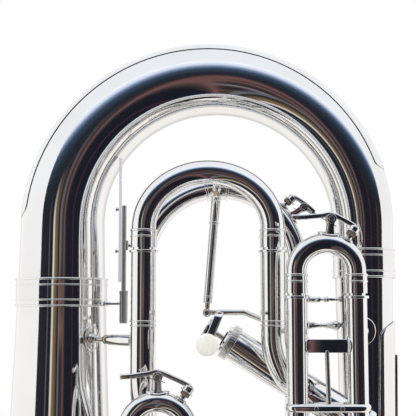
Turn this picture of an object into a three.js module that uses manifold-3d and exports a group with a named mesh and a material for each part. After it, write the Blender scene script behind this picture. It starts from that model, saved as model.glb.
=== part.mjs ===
// A silver-plated compensating tuba that stands on its bell, with three piston valves in a row and a
// fourth on its side. Millimetres, +Z up. The origin is on the floor under the middle of the outer box.
// The tubes' common plane is XZ, the valves stand in front of it, towards -Y.
import * as THREE from "three";
import { mergeVertices } from "three/addons/utils/BufferGeometryUtils.js";
import Module from "manifold-3d";

const wasm = await Module();
wasm.setup();

// ---- Driving dimensions ----
const GAP = 0.3; // between pieces that touch
const SIDES = 8; // facets round a small tube
const BIG_SIDES = 16; // facets round the body tubes
const VALVE_SIDES = 12;
const BELL_SIDES = 24;

const BELL_X = -45.4;
const RIM_R = 241.5;
const RIM_BEAD = 1.2;
const RIM_FLAT = 5;
const RIM_HEIGHT = 3.5;
const FLARE_LENGTH = 21.5; // the flare is RIM_R * sqrt(FLARE_LENGTH / (height + FLARE_LENGTH))
const BELL_WALL = 1.2;
const BELL_TOP = 654;
const FLARE_TOP = 120; // the flare and the stem of the bell are soldered together here

const BRANCH_X = 255.4;
const BOW_SPRING_Z = 719; // where the legs of the bottom bow turn into its arc
const BOW_START_R = 43;
const BOW_END_R = 28.7;
const BOW_WALL = 1.2;
const BRANCH_TOP = 683;
const BRANCH_END = 300;
const BRANCH_END_R = 22;
const THIRD_START_R = 11;
const THIRD_END_R = 18;

const MAIN = { left: 35.6, right: 188.4, y: 0, spring: 682.3, rise: 76.4, r: 10.6, mouth: 652, foot: 560 };
const FOURTH = {
  left: 41,
  right: 159.4,
  y: -75,
  spring: 712.6,
  rise: 51.4,
  r: 11.2,
  mouth: 692,
  foot: 590,
  footRight: 628,
};
const THIRD = { left: 176.6, right: 228.8, y: -115, spring: 671, rise: 24.6, r: 8.8, mouth: 650, foot: 565 };
const FIRST = { left: 30.6, right: 82.6, y: -110, spring: 533, rise: 26, r: 8.8, mouth: 511, foot: 474 };
const SECOND = { low: 398, high: 436, x: 103, mouth: -34, leg: -58, spring: -22, rise: 19, r: 7.8 };

const VALVE_Y = -78;
const VALVE_X = [60, 103, 146];
const VALVE_START_Z = 340; // the finger end of the three upright casings
const CASING = { r: 15.2, bore: 13.6, length: 150 };
const CAP_R = 17.2;
const PISTON = { r: 13.2, bore: 11.2, start: 34, end: 122 };
const STEM_R = 3;
const BUTTON = { r: 10.5, start: -26, end: -21 };
const FOURTH_VALVE = { x: 119.4, y: -44, z: 607.5, angle: THREE.MathUtils.degToRad(32) };

const PIVOT = { x: 163, y: -17, z: 626 }; // the trigger's hinge, along Y
const LINK = { x: 98.9, y: -17, z: 634.3 }; // where the connecting rod meets the trigger
const BALL = { x: 108.8, y: -17.5, z: 757.3, r: 4.5 };
const TOUCH = { x: 99.2, y: -121, z: 608, r: 9.8 };

const GUIDE = { x: 17.8, y: -20, top: 739, bottom: 634 };

// ---- Materials ----
const FINISH = {
  silver: new THREE.MeshStandardMaterial({ color: 0xe6e4de, roughness: 0.12, metalness: 1 }),
  nickel: new THREE.MeshStandardMaterial({ color: 0xc9c6bd, roughness: 0.25, metalness: 1 }),
  steel: new THREE.MeshStandardMaterial({ color: 0x8e9096, roughness: 0.35, metalness: 1 }),
  pearl: new THREE.MeshStandardMaterial({ color: 0xe9e6dc, roughness: 0.3, metalness: 0 }),
};

const tuba = new THREE.Group();

// ---- Geometry helpers ----
const vec = (x, y, z) => new THREE.Vector3(x, y, z);
const Y_AXIS = vec(0, 1, 0);
const Z_AXIS = vec(0, 0, 1);

function solid(geometry) {
  const bare = geometry.clone();
  for (const name of Object.keys(bare.attributes)) {
    if (name !== "position") bare.deleteAttribute(name);
  }
  const merged = mergeVertices(bare, 1e-4);
  return new wasm.Manifold(
    new wasm.Mesh({
      numProp: 3,
      vertProperties: merged.attributes.position.array,
      triVerts: new Uint32Array(merged.index.array),
    }),
  );
}

function geometryOf(manifold) {
  const mesh = manifold.getMesh();
  return new THREE.BufferGeometry()
    .setAttribute("position", new THREE.BufferAttribute(mesh.vertProperties, 3))
    .setIndex(new THREE.BufferAttribute(mesh.triVerts, 1));
}

function add(name, finish, shape) {
  const mesh = new THREE.Mesh(geometryOf(shape), FINISH[finish]);
  mesh.geometry.computeVertexNormals();
  mesh.name = name;
  tuba.add(mesh);
}

const union = (...shapes) => shapes.reduce((all, one) => all.add(one));
const cut = (shape, ...tools) => tools.reduce((rest, tool) => rest.subtract(tool), shape);

// A route is a list of stations, each with its point, its direction and its length along the route.
function withLengths(stations, hint = Y_AXIS) {
  let across = Math.abs(hint.dot(stations[0].along)) > 0.95 ? Z_AXIS.clone() : hint.clone();
  stations.forEach((station, i) => {
    const before = stations[i - 1];
    station.length = before ? before.length + station.point.distanceTo(before.point) : 0;
    across = across.clone().addScaledVector(station.along, -across.dot(station.along)).normalize();
    station.across = across;
  });
  return stations;
}

// Straight runs between corners, each corner rounded to its radius.
function routeOf(corners, radii = [], step = Math.PI / 6, hint = Y_AXIS) {
  const stations = [];
  const heading = (i) => corners[i + 1].clone().sub(corners[i]).normalize();
  stations.push({ point: corners[0].clone(), along: heading(0) });
  for (let i = 1; i < corners.length - 1; i++) {
    const before = heading(i - 1);
    const after = heading(i);
    const turn = before.angleTo(after);
    const radius = Array.isArray(radii) ? radii[i - 1] : radii;
    const start = corners[i].clone().addScaledVector(before, -radius * Math.tan(turn / 2));
    const inward = after.clone().addScaledVector(before, -after.dot(before)).normalize();
    const centre = start.clone().addScaledVector(inward, radius);
    const count = Math.ceil(turn / step);
    for (let k = 0; k <= count; k++) {
      const angle = (turn * k) / count;
      stations.push({
        point: centre
          .clone()
          .addScaledVector(inward, -radius * Math.cos(angle))
          .addScaledVector(before, radius * Math.sin(angle)),
        along: before.clone().multiplyScalar(Math.cos(angle)).addScaledVector(inward, Math.sin(angle)),
      });
    }
  }
  stations.push({ point: corners.at(-1).clone(), along: heading(corners.length - 2) });
  return withLengths(stations, hint);
}

// Up one leg, over half an ellipse and down the other leg, in a plane of constant Y.
function bowRoute({ left, right, y, spring, rise }, footLeft, footRight, count) {
  const middle = (left + right) / 2;
  const half = (right - left) / 2;
  const stations = [{ point: vec(left, y, footLeft), along: vec(0, 0, 1) }];
  for (let k = 0; k <= count; k++) {
    const angle = Math.PI * (1 - k / count);
    stations.push({
      point: vec(middle + half * Math.cos(angle), y, spring + rise * Math.sin(angle)),
      along: vec(half * Math.sin(angle), 0, -rise * Math.cos(angle)).normalize(),
    });
  }
  stations.push({ point: vec(right, y, footRight), along: vec(0, 0, -1) });
  return withLengths(stations);
}

function place(route, length) {
  let i = 1;
  while (i < route.length - 1 && route[i].length < length) i++;
  const a = route[i - 1];
  const b = route[i];
  const t = (length - a.length) / (b.length - a.length);
  const along = a.along.clone().lerp(b.along, THREE.MathUtils.clamp(t, 0, 1)).normalize();
  const across = a.across.clone().lerp(b.across, THREE.MathUtils.clamp(t, 0, 1));
  across.addScaledVector(along, -across.dot(along)).normalize();
  return { point: a.point.clone().lerp(b.point, t), along, across, aside: across.clone().cross(along) };
}

const lengthOf = (route) => route.at(-1).length;

// The outline's points, with one more at each station between them, so that a bent tube follows its route.
function outlineOn(route, outline) {
  const points = [];
  outline.forEach(([s, r], i) => {
    points.push([s, r]);
    const next = outline[i + 1];
    if (!next || next[0] === s) return;
    const between = route.filter(({ length }) => (length - s) * (length - next[0]) < -1e-6);
    if (next[0] < s) between.reverse();
    const slope = (next[1] - r) / (next[0] - s);
    for (const { length } of between) points.push([length, r + slope * (length - s)]);
  });
  return points;
}

// A turned shape whose outline is [length, radius] pairs, bent along a route.
function turned(route, outline, sides = SIDES) {
  const closed = outline[0][1] > 0 ? [...outline, outline[0]] : outline;
  const lathe = new THREE.LatheGeometry(
    outlineOn(route, closed).map(([s, r]) => new THREE.Vector2(r, s)),
    sides,
  );
  const position = lathe.getAttribute("position");
  for (let i = 0; i < position.count; i++) {
    const { point, across, aside } = place(route, position.getY(i));
    point.addScaledVector(across, position.getX(i)).addScaledVector(aside, position.getZ(i));
    position.setXYZ(i, point.x, point.y, point.z);
  }
  return solid(lathe);
}

const tube = (route, outer, inner, sides) => turned(route, [...outer, ...inner.toReversed()], sides);
const even = (route, r) => [[0, r], [lengthOf(route), r]];
const rod = (from, to, r, sides = SIDES) => {
  const route = routeOf([from, to]);
  return turned(route, [[0, 0], [0, r], [lengthOf(route), r], [lengthOf(route), 0]], sides);
};
const pin = (from, to, r) => rod(from, to, r, 8);
const ball = (centre, r) => solid(new THREE.SphereGeometry(r, 8, 5).translate(centre.x, centre.y, centre.z));
const block = (low, high) =>
  solid(
    new THREE.BoxGeometry(high.x - low.x, high.y - low.y, high.z - low.z).translate(
      (low.x + high.x) / 2,
      (low.y + high.y) / 2,
      (low.z + high.z) / 2,
    ),
  );

// A sheet wrapped on the outer side of a tube: its section spans widthAt to either side.
function wrapped(route, from, to, radiusAt, widthAt, low, high, columns = 6) {
  const inside = route.map((station) => station.length).filter((s) => s > from + 8 && s < to - 8);
  const stops = [from, from + 1.5, from + 4, from + 8, ...inside, to - 8, to - 4, to - 1.5, to];
  const box = new THREE.BoxGeometry(2, 1, 1, columns, 1, stops.length - 1);
  const position = box.getAttribute("position");
  for (let i = 0; i < position.count; i++) {
    const s = stops[Math.round((position.getZ(i) + 0.5) * (stops.length - 1))];
    const { point, across, aside } = place(route, s);
    const angle = (position.getX(i) * widthAt(s)) / radiusAt(s);
    const radius = radiusAt(s) + (position.getY(i) < 0 ? low : high);
    point.addScaledVector(aside, -radius * Math.cos(angle)).addScaledVector(across, radius * Math.sin(angle));
    position.setXYZ(i, point.x, point.y, point.z);
  }
  return solid(box);
}

// Full width in the middle, narrowing over the last few millimetres at each end.
const tonguedWidth = (from, to, width) => (s) => {
  const inset = Math.min(s - from, to - s);
  return width * Math.min(1, Math.sqrt(Math.max(0.1, 1 - (1 - inset / 9) ** 2 * (inset < 9 ? 1 : 0))));
};

// A sleeve with a bead at each end, which covers the joint of two tubes.
function ferrule(route, radius, length, bead, sides) {
  const inner = radius + GAP;
  const sleeve = inner + 1.1;
  const outer = [
    [0, sleeve + bead],
    [2, sleeve + bead],
    [2, sleeve],
    [length - 2, sleeve],
    [length - 2, sleeve + bead],
    [length, sleeve + bead],
  ];
  return tube(route, outer, [[0, inner], [length, inner]], sides);
}

// ---- Body tubes ----
const bellRadius = (z) => RIM_R * Math.sqrt(FLARE_LENGTH / (z - RIM_HEIGHT + FLARE_LENGTH));

const bellInner = (z) => {
  const slope = (0.5 * bellRadius(z)) / (z - RIM_HEIGHT + FLARE_LENGTH);
  const share = BELL_WALL / Math.hypot(1, slope);
  return [z - slope * share, bellRadius(z) - share];
};

// The flare, with its rolled rim, as one piece, and the stem above it as another.
const flareHeights = [3.5, 7, 13, 24, 42, 70, FLARE_TOP - GAP];
const flareInner = flareHeights.map(bellInner).filter(([, r]) => r < RIM_R - RIM_FLAT - 2);
flareInner.at(-1)[0] = FLARE_TOP - GAP;
const stemHeights = [FLARE_TOP, 190, 310, 480, BELL_TOP];
const upAxis = routeOf([vec(BELL_X, 0, 0), vec(BELL_X, 0, BELL_TOP)]);
add(
  "bell_flare",
  "silver",
  turned(
    upAxis,
    [
      [0, RIM_R - RIM_FLAT],
      [0, RIM_R],
      [RIM_HEIGHT / 2, RIM_R + RIM_BEAD],
      ...flareHeights.map((z) => [z, bellRadius(z)]),
      ...flareInner.toReversed(),
      [RIM_HEIGHT - 0.5, RIM_R - RIM_FLAT],
    ],
    BELL_SIDES,
  ),
);
add(
  "bell_stem",
  "silver",
  tube(
    upAxis,
    stemHeights.map((z) => [z, bellRadius(z)]),
    stemHeights.map((z) => [z, bellRadius(z) - BELL_WALL]),
    BELL_SIDES,
  ),
);

const bow = { left: BELL_X, right: BRANCH_X, y: 0, spring: BOW_SPRING_Z, rise: (BRANCH_X - BELL_X) / 2 };
const bowPath = bowRoute(bow, BELL_TOP + GAP, BRANCH_TOP + GAP, 16);
const bowLength = lengthOf(bowPath);
const bowRadius = (s) => BOW_START_R + ((BOW_END_R - BOW_START_R) * s) / bowLength;
const guideBarX = GUIDE.x - 4; // the flat bar hangs from the bow, beside the main slide's guide rod
add(
  "bottom_bow",
  "silver",
  cut(
    union(
      turned(bowPath, [[0, 0], [0, BOW_START_R], [bowLength, BOW_END_R], [bowLength, 0]], BIG_SIDES),
      block(vec(guideBarX - 1.2, GUIDE.y - 2.4, 664), vec(guideBarX + 1.2, GUIDE.y + 2.4, 794)),
      pin(vec(guideBarX - 4, GUIDE.y, 735), vec(guideBarX, GUIDE.y, 735), 2),
      pin(vec(guideBarX - 4, GUIDE.y, 694), vec(guideBarX, GUIDE.y, 694), 2),
    ),
    turned(
      bowPath,
      [[0, 0], [0, BOW_START_R - BOW_WALL], [bowLength, BOW_END_R - BOW_WALL], [bowLength, 0]],
      BIG_SIDES,
    ),
  ),
);

const GUARD = { from: 72, to: bowLength - 84, width: 26 };
add(
  "bow_guard",
  "silver",
  wrapped(bowPath, GUARD.from, GUARD.to, bowRadius, tonguedWidth(GUARD.from, GUARD.to, GUARD.width), 0.4, 1.4),
);

// A straight route along Z, cut into count stretches.
const upright = (x, y, from, to, count = 1) =>
  withLengths(
    Array.from({ length: count + 1 }, (_, i) => ({
      point: vec(x, y, from + ((to - from) * i) / count),
      along: vec(0, 0, Math.sign(to - from)),
    })),
  );
add("bell_ferrule", "silver", ferrule(upright(BELL_X, 0, 640, 668), bellRadius(640), 28, 1.2, BELL_SIDES));
add("branch_ferrule", "silver", ferrule(upright(BRANCH_X, 0, 668, 697), BOW_END_R + 0.5, 29, 1.2, BIG_SIDES));

const branchRoute = upright(BRANCH_X, 0, BRANCH_TOP, BRANCH_END);
const branchLength = lengthOf(branchRoute);
const branchRadius = (s) => BOW_END_R + ((BRANCH_END_R - BOW_END_R) * s) / branchLength;
const branchRadiusAt = (z) => branchRadius(BRANCH_TOP - z);
// A brace from the branch to the tube beside it, its outline [share of its length, radius] pairs.
function crossBrace(z, outline) {
  const route = routeOf([vec(MAIN.right + 10, 0, z), vec(BRANCH_X - 23.6, 0, z)]);
  const total = lengthOf(route);
  return turned(route, [[0, 0], ...outline.map(([share, r]) => [share * total, r]), [total, 0]]);
}
const CROSS_BRACES = [
  [450, [[0, 8], [0.18, 8], [0.18, 3], [0.82, 3], [0.82, 8], [1, 8]]],
  [621.4, [[0, 4.6], [0.3, 4.2], [0.5, 2.2], [0.7, 3.6], [1, 4.4]]],
  [647, [[0, 3.2], [0.32, 3.2], [0.36, 1.8], [0.42, 3], [0.52, 3], [0.56, 1.8], [1, 1.8]]],
];
add(
  "second_branch",
  "silver",
  cut(
    union(
      turned(
        branchRoute,
        [[0, 0], [0, BOW_END_R], [branchLength, BRANCH_END_R], [branchLength, 0]],
        BIG_SIDES,
      ),
      ...CROSS_BRACES.map(([z, outline]) => crossBrace(z, outline)),
    ),
    turned(
      branchRoute,
      [[0, 0], [0, BOW_END_R - BOW_WALL], [branchLength, BRANCH_END_R - BOW_WALL], [branchLength, 0]],
      BIG_SIDES,
    ),
    rod(vec(MAIN.right, 0, 430), vec(MAIN.right, 0, 470), 15, 16),
    rod(vec(MAIN.right, 0, 600), vec(MAIN.right, 0, MAIN.mouth + 1), MAIN.r + 2.4 + GAP, 16),
  ),
);

const PATCH = { from: BRANCH_TOP - 626, to: BRANCH_TOP - 345, width: 33 };
const RIB = { r: 2.2, from: 594, to: 350 };
const ribX = (z) => BRANCH_X + branchRadiusAt(z) + RIB.r + 1.1;
const patchRoute = upright(BRANCH_X, 0, BRANCH_TOP, BRANCH_END, 7);
add(
  "branch_guard",
  "silver",
  union(
    wrapped(
      patchRoute,
      PATCH.from,
      PATCH.to,
      branchRadius,
      tonguedWidth(PATCH.from, PATCH.to, PATCH.width),
      1,
      2,
      8,
    ),
    pin(vec(ribX(RIB.from), 0, RIB.from), vec(ribX(RIB.to), 0, RIB.to), RIB.r),
  ),
);

const thirdRoute = routeOf([vec(MAIN.right, 0, MAIN.mouth), vec(MAIN.right, 0, BRANCH_END)]);
const mainBore = MAIN.r - 0.65;
const thirdLength = lengthOf(thirdRoute);
add(
  "third_branch",
  "silver",
  tube(
    thirdRoute,
    [
      [0, MAIN.r + 2.4],
      [3, MAIN.r + 2.4],
      [3, THIRD_START_R],
      [MAIN.mouth - 540, THIRD_START_R],
      [MAIN.mouth - 540, THIRD_START_R + 1.4],
      [MAIN.mouth - 522, THIRD_START_R + 1.4],
      [MAIN.mouth - 522, THIRD_START_R + 0.3],
      [thirdLength, THIRD_END_R],
    ],
    [
      [0, mainBore],
      [MAIN.mouth - 522, mainBore],
      [thirdLength, THIRD_END_R - 1.1],
    ],
  ),
);

const topBowHalf = (BRANCH_X - MAIN.right) / 2;
const SLEEVE = { over: 8, wall: 1.1, bead: 0.9, length: 14 };
const topBowRoute = routeOf(
  [
    vec(MAIN.right, 0, BRANCH_END + SLEEVE.over),
    vec(MAIN.right, 0, BRANCH_END - GAP - topBowHalf - 6),
    vec(BRANCH_X, 0, BRANCH_END - GAP - topBowHalf - 6),
    vec(BRANCH_X, 0, BRANCH_END + SLEEVE.over),
  ],
  topBowHalf - 0.01,
);
const topBowLength = lengthOf(topBowRoute);

// The end of the bow that covers a branch, as [distance from the end, radius] pairs.
function sleeveOutline(radius) {
  const inner = radius + 0.4 + GAP;
  const outer = inner + SLEEVE.wall;
  const bead = outer + SLEEVE.bead;
  const edge = SLEEVE.over + GAP;
  return {
    outside: [
      [0, bead],
      [2, bead],
      [2, outer],
      [12, outer],
      [12, bead],
      [SLEEVE.length, bead],
      [SLEEVE.length, radius],
    ],
    inside: [[0, inner], [edge, inner], [edge, radius - BOW_WALL]],
  };
}

const thirdSleeve = sleeveOutline(THIRD_END_R);
const branchSleeve = sleeveOutline(BRANCH_END_R);
const fromFarEnd = (outline) => outline.map(([s, r]) => [topBowLength - s, r]).reverse();
add(
  "top_bow",
  "silver",
  tube(
    topBowRoute,
    [...thirdSleeve.outside, ...fromFarEnd(branchSleeve.outside)],
    [...thirdSleeve.inside, ...fromFarEnd(branchSleeve.inside)],
    BIG_SIDES,
  ),
);

// ---- Slides ----
// A flat bar from one point to another, both on one plane of constant Y.
function bar(from, to, width, thickness) {
  const box = new THREE.BoxGeometry(from.distanceTo(to), width, thickness);
  const angle = Math.atan2(to.z - from.z, to.x - from.x);
  box.rotateY(-angle).translate((from.x + to.x) / 2, (from.y + to.y) / 2, (from.z + to.z) / 2);
  return solid(box);
}

// Where a water key sits on a slide bow: angles round the bow's middle, 90 degrees at its top.
function keyOn(slide, pivotDegrees, seatDegrees, tip, lift = 12.5) {
  const middle = (slide.left + slide.right) / 2;
  const half = (slide.right - slide.left) / 2;
  const at = (degrees, off) => {
    const angle = THREE.MathUtils.degToRad(degrees);
    const out = vec(slide.rise * Math.cos(angle), 0, half * Math.sin(angle)).normalize();
    const onLine = vec(middle + half * Math.cos(angle), slide.y, slide.spring + slide.rise * Math.sin(angle));
    return { out, point: onLine.addScaledVector(out, slide.r + off) };
  };
  const foot = at(pivotDegrees, 0);
  const seat = at(seatDegrees, 0);
  return {
    y: slide.y,
    foot: foot.point,
    up: foot.out,
    pivot: at(pivotDegrees, lift).point,
    seat: seat.point,
    out: seat.out,
    tip: vec(tip[0], slide.y, tip[1]),
  };
}

const MAIN_KEY = keyOn(MAIN, 34, 42.5, [207.5, 731.5], 14);
const THIRD_KEY = keyOn(THIRD, 84, 56, [173.5, 718.5]);
const FIRST_KEY = keyOn(FIRST, 90, 54, [24, 580]);

// Two ears and a pin that carry the key, and the nipple that its cork closes.
function waterKeyPost({ y, foot, up, pivot, seat, out }) {
  const offset = (point, dy) => vec(point.x, y + dy, point.z);
  const low = foot.clone().addScaledVector(up, -3.8);
  const high = pivot.clone().addScaledVector(up, 2.4);
  return [
    bar(offset(low, -5.8), offset(high, -5.8), 2, 4.6),
    bar(offset(low, 5.8), offset(high, 5.8), 2, 4.6),
    rod(offset(pivot, -7.4), offset(pivot, 7.4), 1.5, 8),
    rod(seat.clone().addScaledVector(out, -0.8), seat.clone().addScaledVector(out, 3.2), 3),
  ];
}

// A slide bow: thin legs that run inside the outer tubes, a beaded sleeve on each, and the bent tube.
function slideBow(route, slide, footLeft, footRight, bowWall = 1) {
  const total = lengthOf(route);
  const { r } = slide;
  const sleeve = (leg) => [
    [0, r - 1],
    [leg, r - 1],
    [leg, r + 1.4],
    [leg + 2, r + 1.4],
    [leg + 2, r + 0.8],
    [leg + 15, r + 0.8],
    [leg + 15, r + 1.4],
    [leg + 17, r + 1.4],
    [leg + 17, r],
  ];
  const legLeft = slide.mouth + 2 - footLeft;
  const legRight = slide.mouth + 2 - footRight;
  const rightSleeve = sleeve(legRight).map(([s, radius]) => [total - s, radius]).reverse();
  const bore = [
    [0, r - 2],
    [legLeft + 15, r - 2],
    [legLeft + 17, r - bowWall],
    [total - legRight - 17, r - bowWall],
    [total - legRight - 15, r - 2],
    [total, r - 2],
  ];
  return tube(route, [...sleeve(legLeft), ...rightSleeve], bore);
}

// A slide's bow and legs, with the right leg's foot higher where its outer tube bends sooner.
function slidePiece(slide, count) {
  const footRight = slide.footRight ?? slide.foot;
  return slideBow(bowRoute(slide, slide.foot, footRight, count), slide, slide.foot, footRight);
}

// The outer tube of a slide leg: a collar at its mouth, a bore that fits the leg, and the far end cut
// clear of the pieces that it runs into.
function outerTube(route, r, ...clear) {
  const total = lengthOf(route);
  const shape = tube(
    route,
    [[0, r + 2], [2.5, r + 2], [2.5, r + 0.2], [total, r + 0.2]],
    [[0, r - 0.65], [total, r - 0.65]],
  );
  return cut(shape, ...clear);
}

// ---- Valves ----
const upward = vec(0, 0, 1);
const fourthAxis = vec(Math.cos(FOURTH_VALVE.angle), 0, -Math.sin(FOURTH_VALVE.angle));
const valves = [
  ...VALVE_X.map((x) => ({ start: vec(x, VALVE_Y, VALVE_START_Z), axis: upward })),
  { start: vec(FOURTH_VALVE.x, FOURTH_VALVE.y, FOURTH_VALVE.z), axis: fourthAxis },
];
const onValve = (i, t) => valves[i].start.clone().addScaledVector(valves[i].axis, t);
const valveRoute = (i) => routeOf([onValve(i, -40), onValve(i, 200)]);
const onAxis = (outline) => outline.map(([t, r]) => [t + 40, r]);
const casingSpace = (i) => {
  const far = CASING.length + 1;
  const radius = CASING.r + GAP;
  return turned(valveRoute(i), onAxis([[-1, 0], [-1, radius], [far, radius], [far, 0]]), VALVE_SIDES);
};

// Where each tube meets a casing, as a point on the valve's axis and the side that it comes from.
const ports = [[], [], [], []];

function enter(i, t, from) {
  const target = onValve(i, t);
  ports[i].push([target, from]);
  return target;
}

const mainBowRoute = bowRoute(MAIN, MAIN.foot, MAIN.foot, 12);
const apexLength = lengthOf(mainBowRoute) / 2;
const saddle = turned(
  mainBowRoute,
  [
    [apexLength - 15, MAIN.r - 0.5],
    [apexLength - 15, MAIN.r + 1.6],
    [apexLength + 9, MAIN.r + 1.6],
    [apexLength + 9, MAIN.r - 0.5],
  ],
);
const guideArmZ = 700;
add(
  "main_slide",
  "silver",
  union(
    slidePiece(MAIN, 12),
    saddle,
    pin(vec(BALL.x, BALL.y, BALL.z), vec(BALL.x, -9.6, BALL.z), 2),
    ball(BALL, BALL.r),
    pin(vec(GUIDE.x, GUIDE.y + 3.2, guideArmZ), vec(35, -8.5, guideArmZ), 2),
    block(vec(GUIDE.x - 2.2, GUIDE.y + 1.2, guideArmZ - 5), vec(GUIDE.x + 4, GUIDE.y + 5.2, guideArmZ + 5)),
    pin(vec(GUIDE.x, GUIDE.y, GUIDE.bottom), vec(GUIDE.x, GUIDE.y, GUIDE.top), 2.2),
    ...waterKeyPost(MAIN_KEY),
  ),
);

const MAIN_LOW_Z = 478; // the main slide's tube crosses below the valves here
const MAIN_RISE = { x: 183, y: FOURTH_VALVE.y }; // and rises behind the third slide's leg to the fourth valve
const mainReturnEnd = enter(3, 75, vec(MAIN_RISE.x, MAIN_RISE.y, MAIN_LOW_Z));
add(
  "main_tube",
  "silver",
  outerTube(
    routeOf(
      [
        vec(MAIN.left, 0, MAIN.mouth),
        vec(MAIN.left, 0, MAIN_LOW_Z),
        vec(MAIN_RISE.x - 33, 0, MAIN_LOW_Z),
        vec(MAIN_RISE.x, MAIN_RISE.y, MAIN_LOW_Z),
        mainReturnEnd,
      ],
      [30, 20, 22],
      Math.PI / 6,
    ),
    MAIN.r,
    casingSpace(3),
  ),
);

add("fourth_slide", "silver", slidePiece(FOURTH, 12));
const fourthIn = enter(2, 20, vec(VALVE_X[2], -38, VALVE_START_Z + 20));
add(
  "fourth_tube_left",
  "silver",
  outerTube(
    routeOf(
      [
        vec(FOURTH.left, FOURTH.y, FOURTH.mouth),
        vec(FOURTH.left, FOURTH.y, 565),
        vec(FOURTH.left, -36, 530),
        vec(FOURTH.left, -36, fourthIn.z),
        vec(VALVE_X[2], -36, fourthIn.z),
        fourthIn,
      ],
      [40, 40, 26, 13],
      Math.PI / 6,
      vec(0, 1, 0),
    ),
    FOURTH.r,
    casingSpace(2),
  ),
);
const fourthOut = enter(3, 82, vec(FOURTH.right + 6, FOURTH.y, 590));
add(
  "fourth_tube_right",
  "silver",
  outerTube(
    routeOf(
      [
        vec(FOURTH.right, FOURTH.y, FOURTH.mouth),
        vec(FOURTH.right, FOURTH.y, 600),
        vec(FOURTH.right + 12, FOURTH.y, 575),
        fourthOut,
      ],
      [60, 20],
      Math.PI / 6,
    ),
    FOURTH.r,
    casingSpace(3),
  ),
);

// ---- Third slide: outer tubes joined by a plate and a tie bar ----
add("third_slide", "silver", union(slidePiece(THIRD, 8), ...waterKeyPost(THIRD_KEY)));

// The outer tube of a slide leg that comes down and turns back into the valve behind it.
const elbow = (slide, x, i, target, radius) =>
  outerTube(
    routeOf(
      [vec(x, slide.y, slide.mouth), vec(x, slide.y, target.z), target],
      [radius],
      Math.PI / 6,
      vec(1, 0, 0),
    ),
    slide.r,
    casingSpace(i),
  );
const thirdHigh = enter(2, 132, vec(THIRD.left, THIRD.y, VALVE_START_Z + 132));
const thirdLow = enter(2, 20, vec(THIRD.right, THIRD.y, VALVE_START_Z + 20));
const thirdBore = (x) => rod(vec(x, THIRD.y, 500), vec(x, THIRD.y, 600), THIRD.r - 0.65);
const TIE = { z: 554.6, half: 3.8, depth: 11 };
const tieBar = cut(
  union(
    block(
      vec(THIRD.left, THIRD.y - TIE.depth, TIE.z - TIE.half),
      vec(THIRD.right, THIRD.y + TIE.depth, TIE.z + TIE.half),
    ),
    rod(vec(THIRD.left, THIRD.y, TIE.z - TIE.half), vec(THIRD.left, THIRD.y, TIE.z + TIE.half), TIE.depth),
    rod(vec(THIRD.right, THIRD.y, TIE.z - TIE.half), vec(THIRD.right, THIRD.y, TIE.z + TIE.half), TIE.depth),
  ),
  thirdBore(THIRD.left),
  thirdBore(THIRD.right),
);
const plate = block(vec(THIRD.left + 8.5, THIRD.y - 3, 601), vec(THIRD.right - 8.5, THIRD.y, 612.6));
const stay = pin(vec(203.5, THIRD.y - 1.5, TIE.z), vec(202.4, THIRD.y - 1.5, 603), 1.6);
add(
  "third_tubes",
  "silver",
  union(
    elbow(THIRD, THIRD.left, 2, thirdHigh, 20),
    elbow(THIRD, THIRD.right, 2, thirdLow, 26),
    tieBar,
    plate,
    stay,
  ),
);

// ---- First slide ----
add("first_slide", "silver", union(slidePiece(FIRST, 8), ...waterKeyPost(FIRST_KEY)));
const firstHigh = enter(0, 112, vec(FIRST.left, FIRST.y, VALVE_START_Z + 112));
const firstLow = enter(0, 72, vec(FIRST.right, FIRST.y, VALVE_START_Z + 72));
add(
  "first_tubes",
  "silver",
  union(
    elbow(FIRST, FIRST.left, 0, firstHigh, 16),
    elbow(FIRST, FIRST.right, 0, firstLow, 16),
    block(vec(FIRST.left + 8.5, FIRST.y - 3, 486), vec(FIRST.right - 8.5, FIRST.y, 494)),
  ),
);

// ---- Second slide: a short one that points backwards from the middle valve ----
const secondMiddle = (SECOND.low + SECOND.high) / 2;
const secondHalf = (SECOND.high - SECOND.low) / 2;
const secondRoute = routeOf(
  [
    vec(SECOND.x, SECOND.leg, SECOND.low),
    vec(SECOND.x, SECOND.spring + secondHalf + 0.1, SECOND.low),
    vec(SECOND.x, SECOND.spring + secondHalf + 0.1, SECOND.high),
    vec(SECOND.x, SECOND.leg, SECOND.high),
  ],
  secondHalf - 0.01,
  Math.PI / 6,
  vec(1, 0, 0),
);
const secondLeg = SECOND.mouth - SECOND.leg + 0.5;
const secondTotal = lengthOf(secondRoute);
const secondOutline = [
  [0, SECOND.r - 1],
  [secondLeg, SECOND.r - 1],
  [secondLeg, SECOND.r + 1],
  [secondLeg + 8, SECOND.r + 1],
  [secondLeg + 8, SECOND.r],
];
add(
  "second_slide",
  "silver",
  tube(
    secondRoute,
    [...secondOutline, ...secondOutline.map(([s, r]) => [secondTotal - s, r]).reverse()],
    even(secondRoute, SECOND.r - 2),
  ),
);
const secondTube = (z) => {
  const target = enter(1, z - VALVE_START_Z, vec(SECOND.x, SECOND.mouth, z));
  const route = routeOf([vec(SECOND.x, SECOND.mouth, z), target], [], 1, vec(1, 0, 0));
  return outerTube(route, SECOND.r, casingSpace(1));
};
add(
  "second_tubes",
  "silver",
  union(
    secondTube(SECOND.low),
    secondTube(SECOND.high),
    block(vec(SECOND.x - 3, -50, SECOND.low + 7.5), vec(SECOND.x + 3, -47, SECOND.high - 7.5)),
  ),
);

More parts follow.
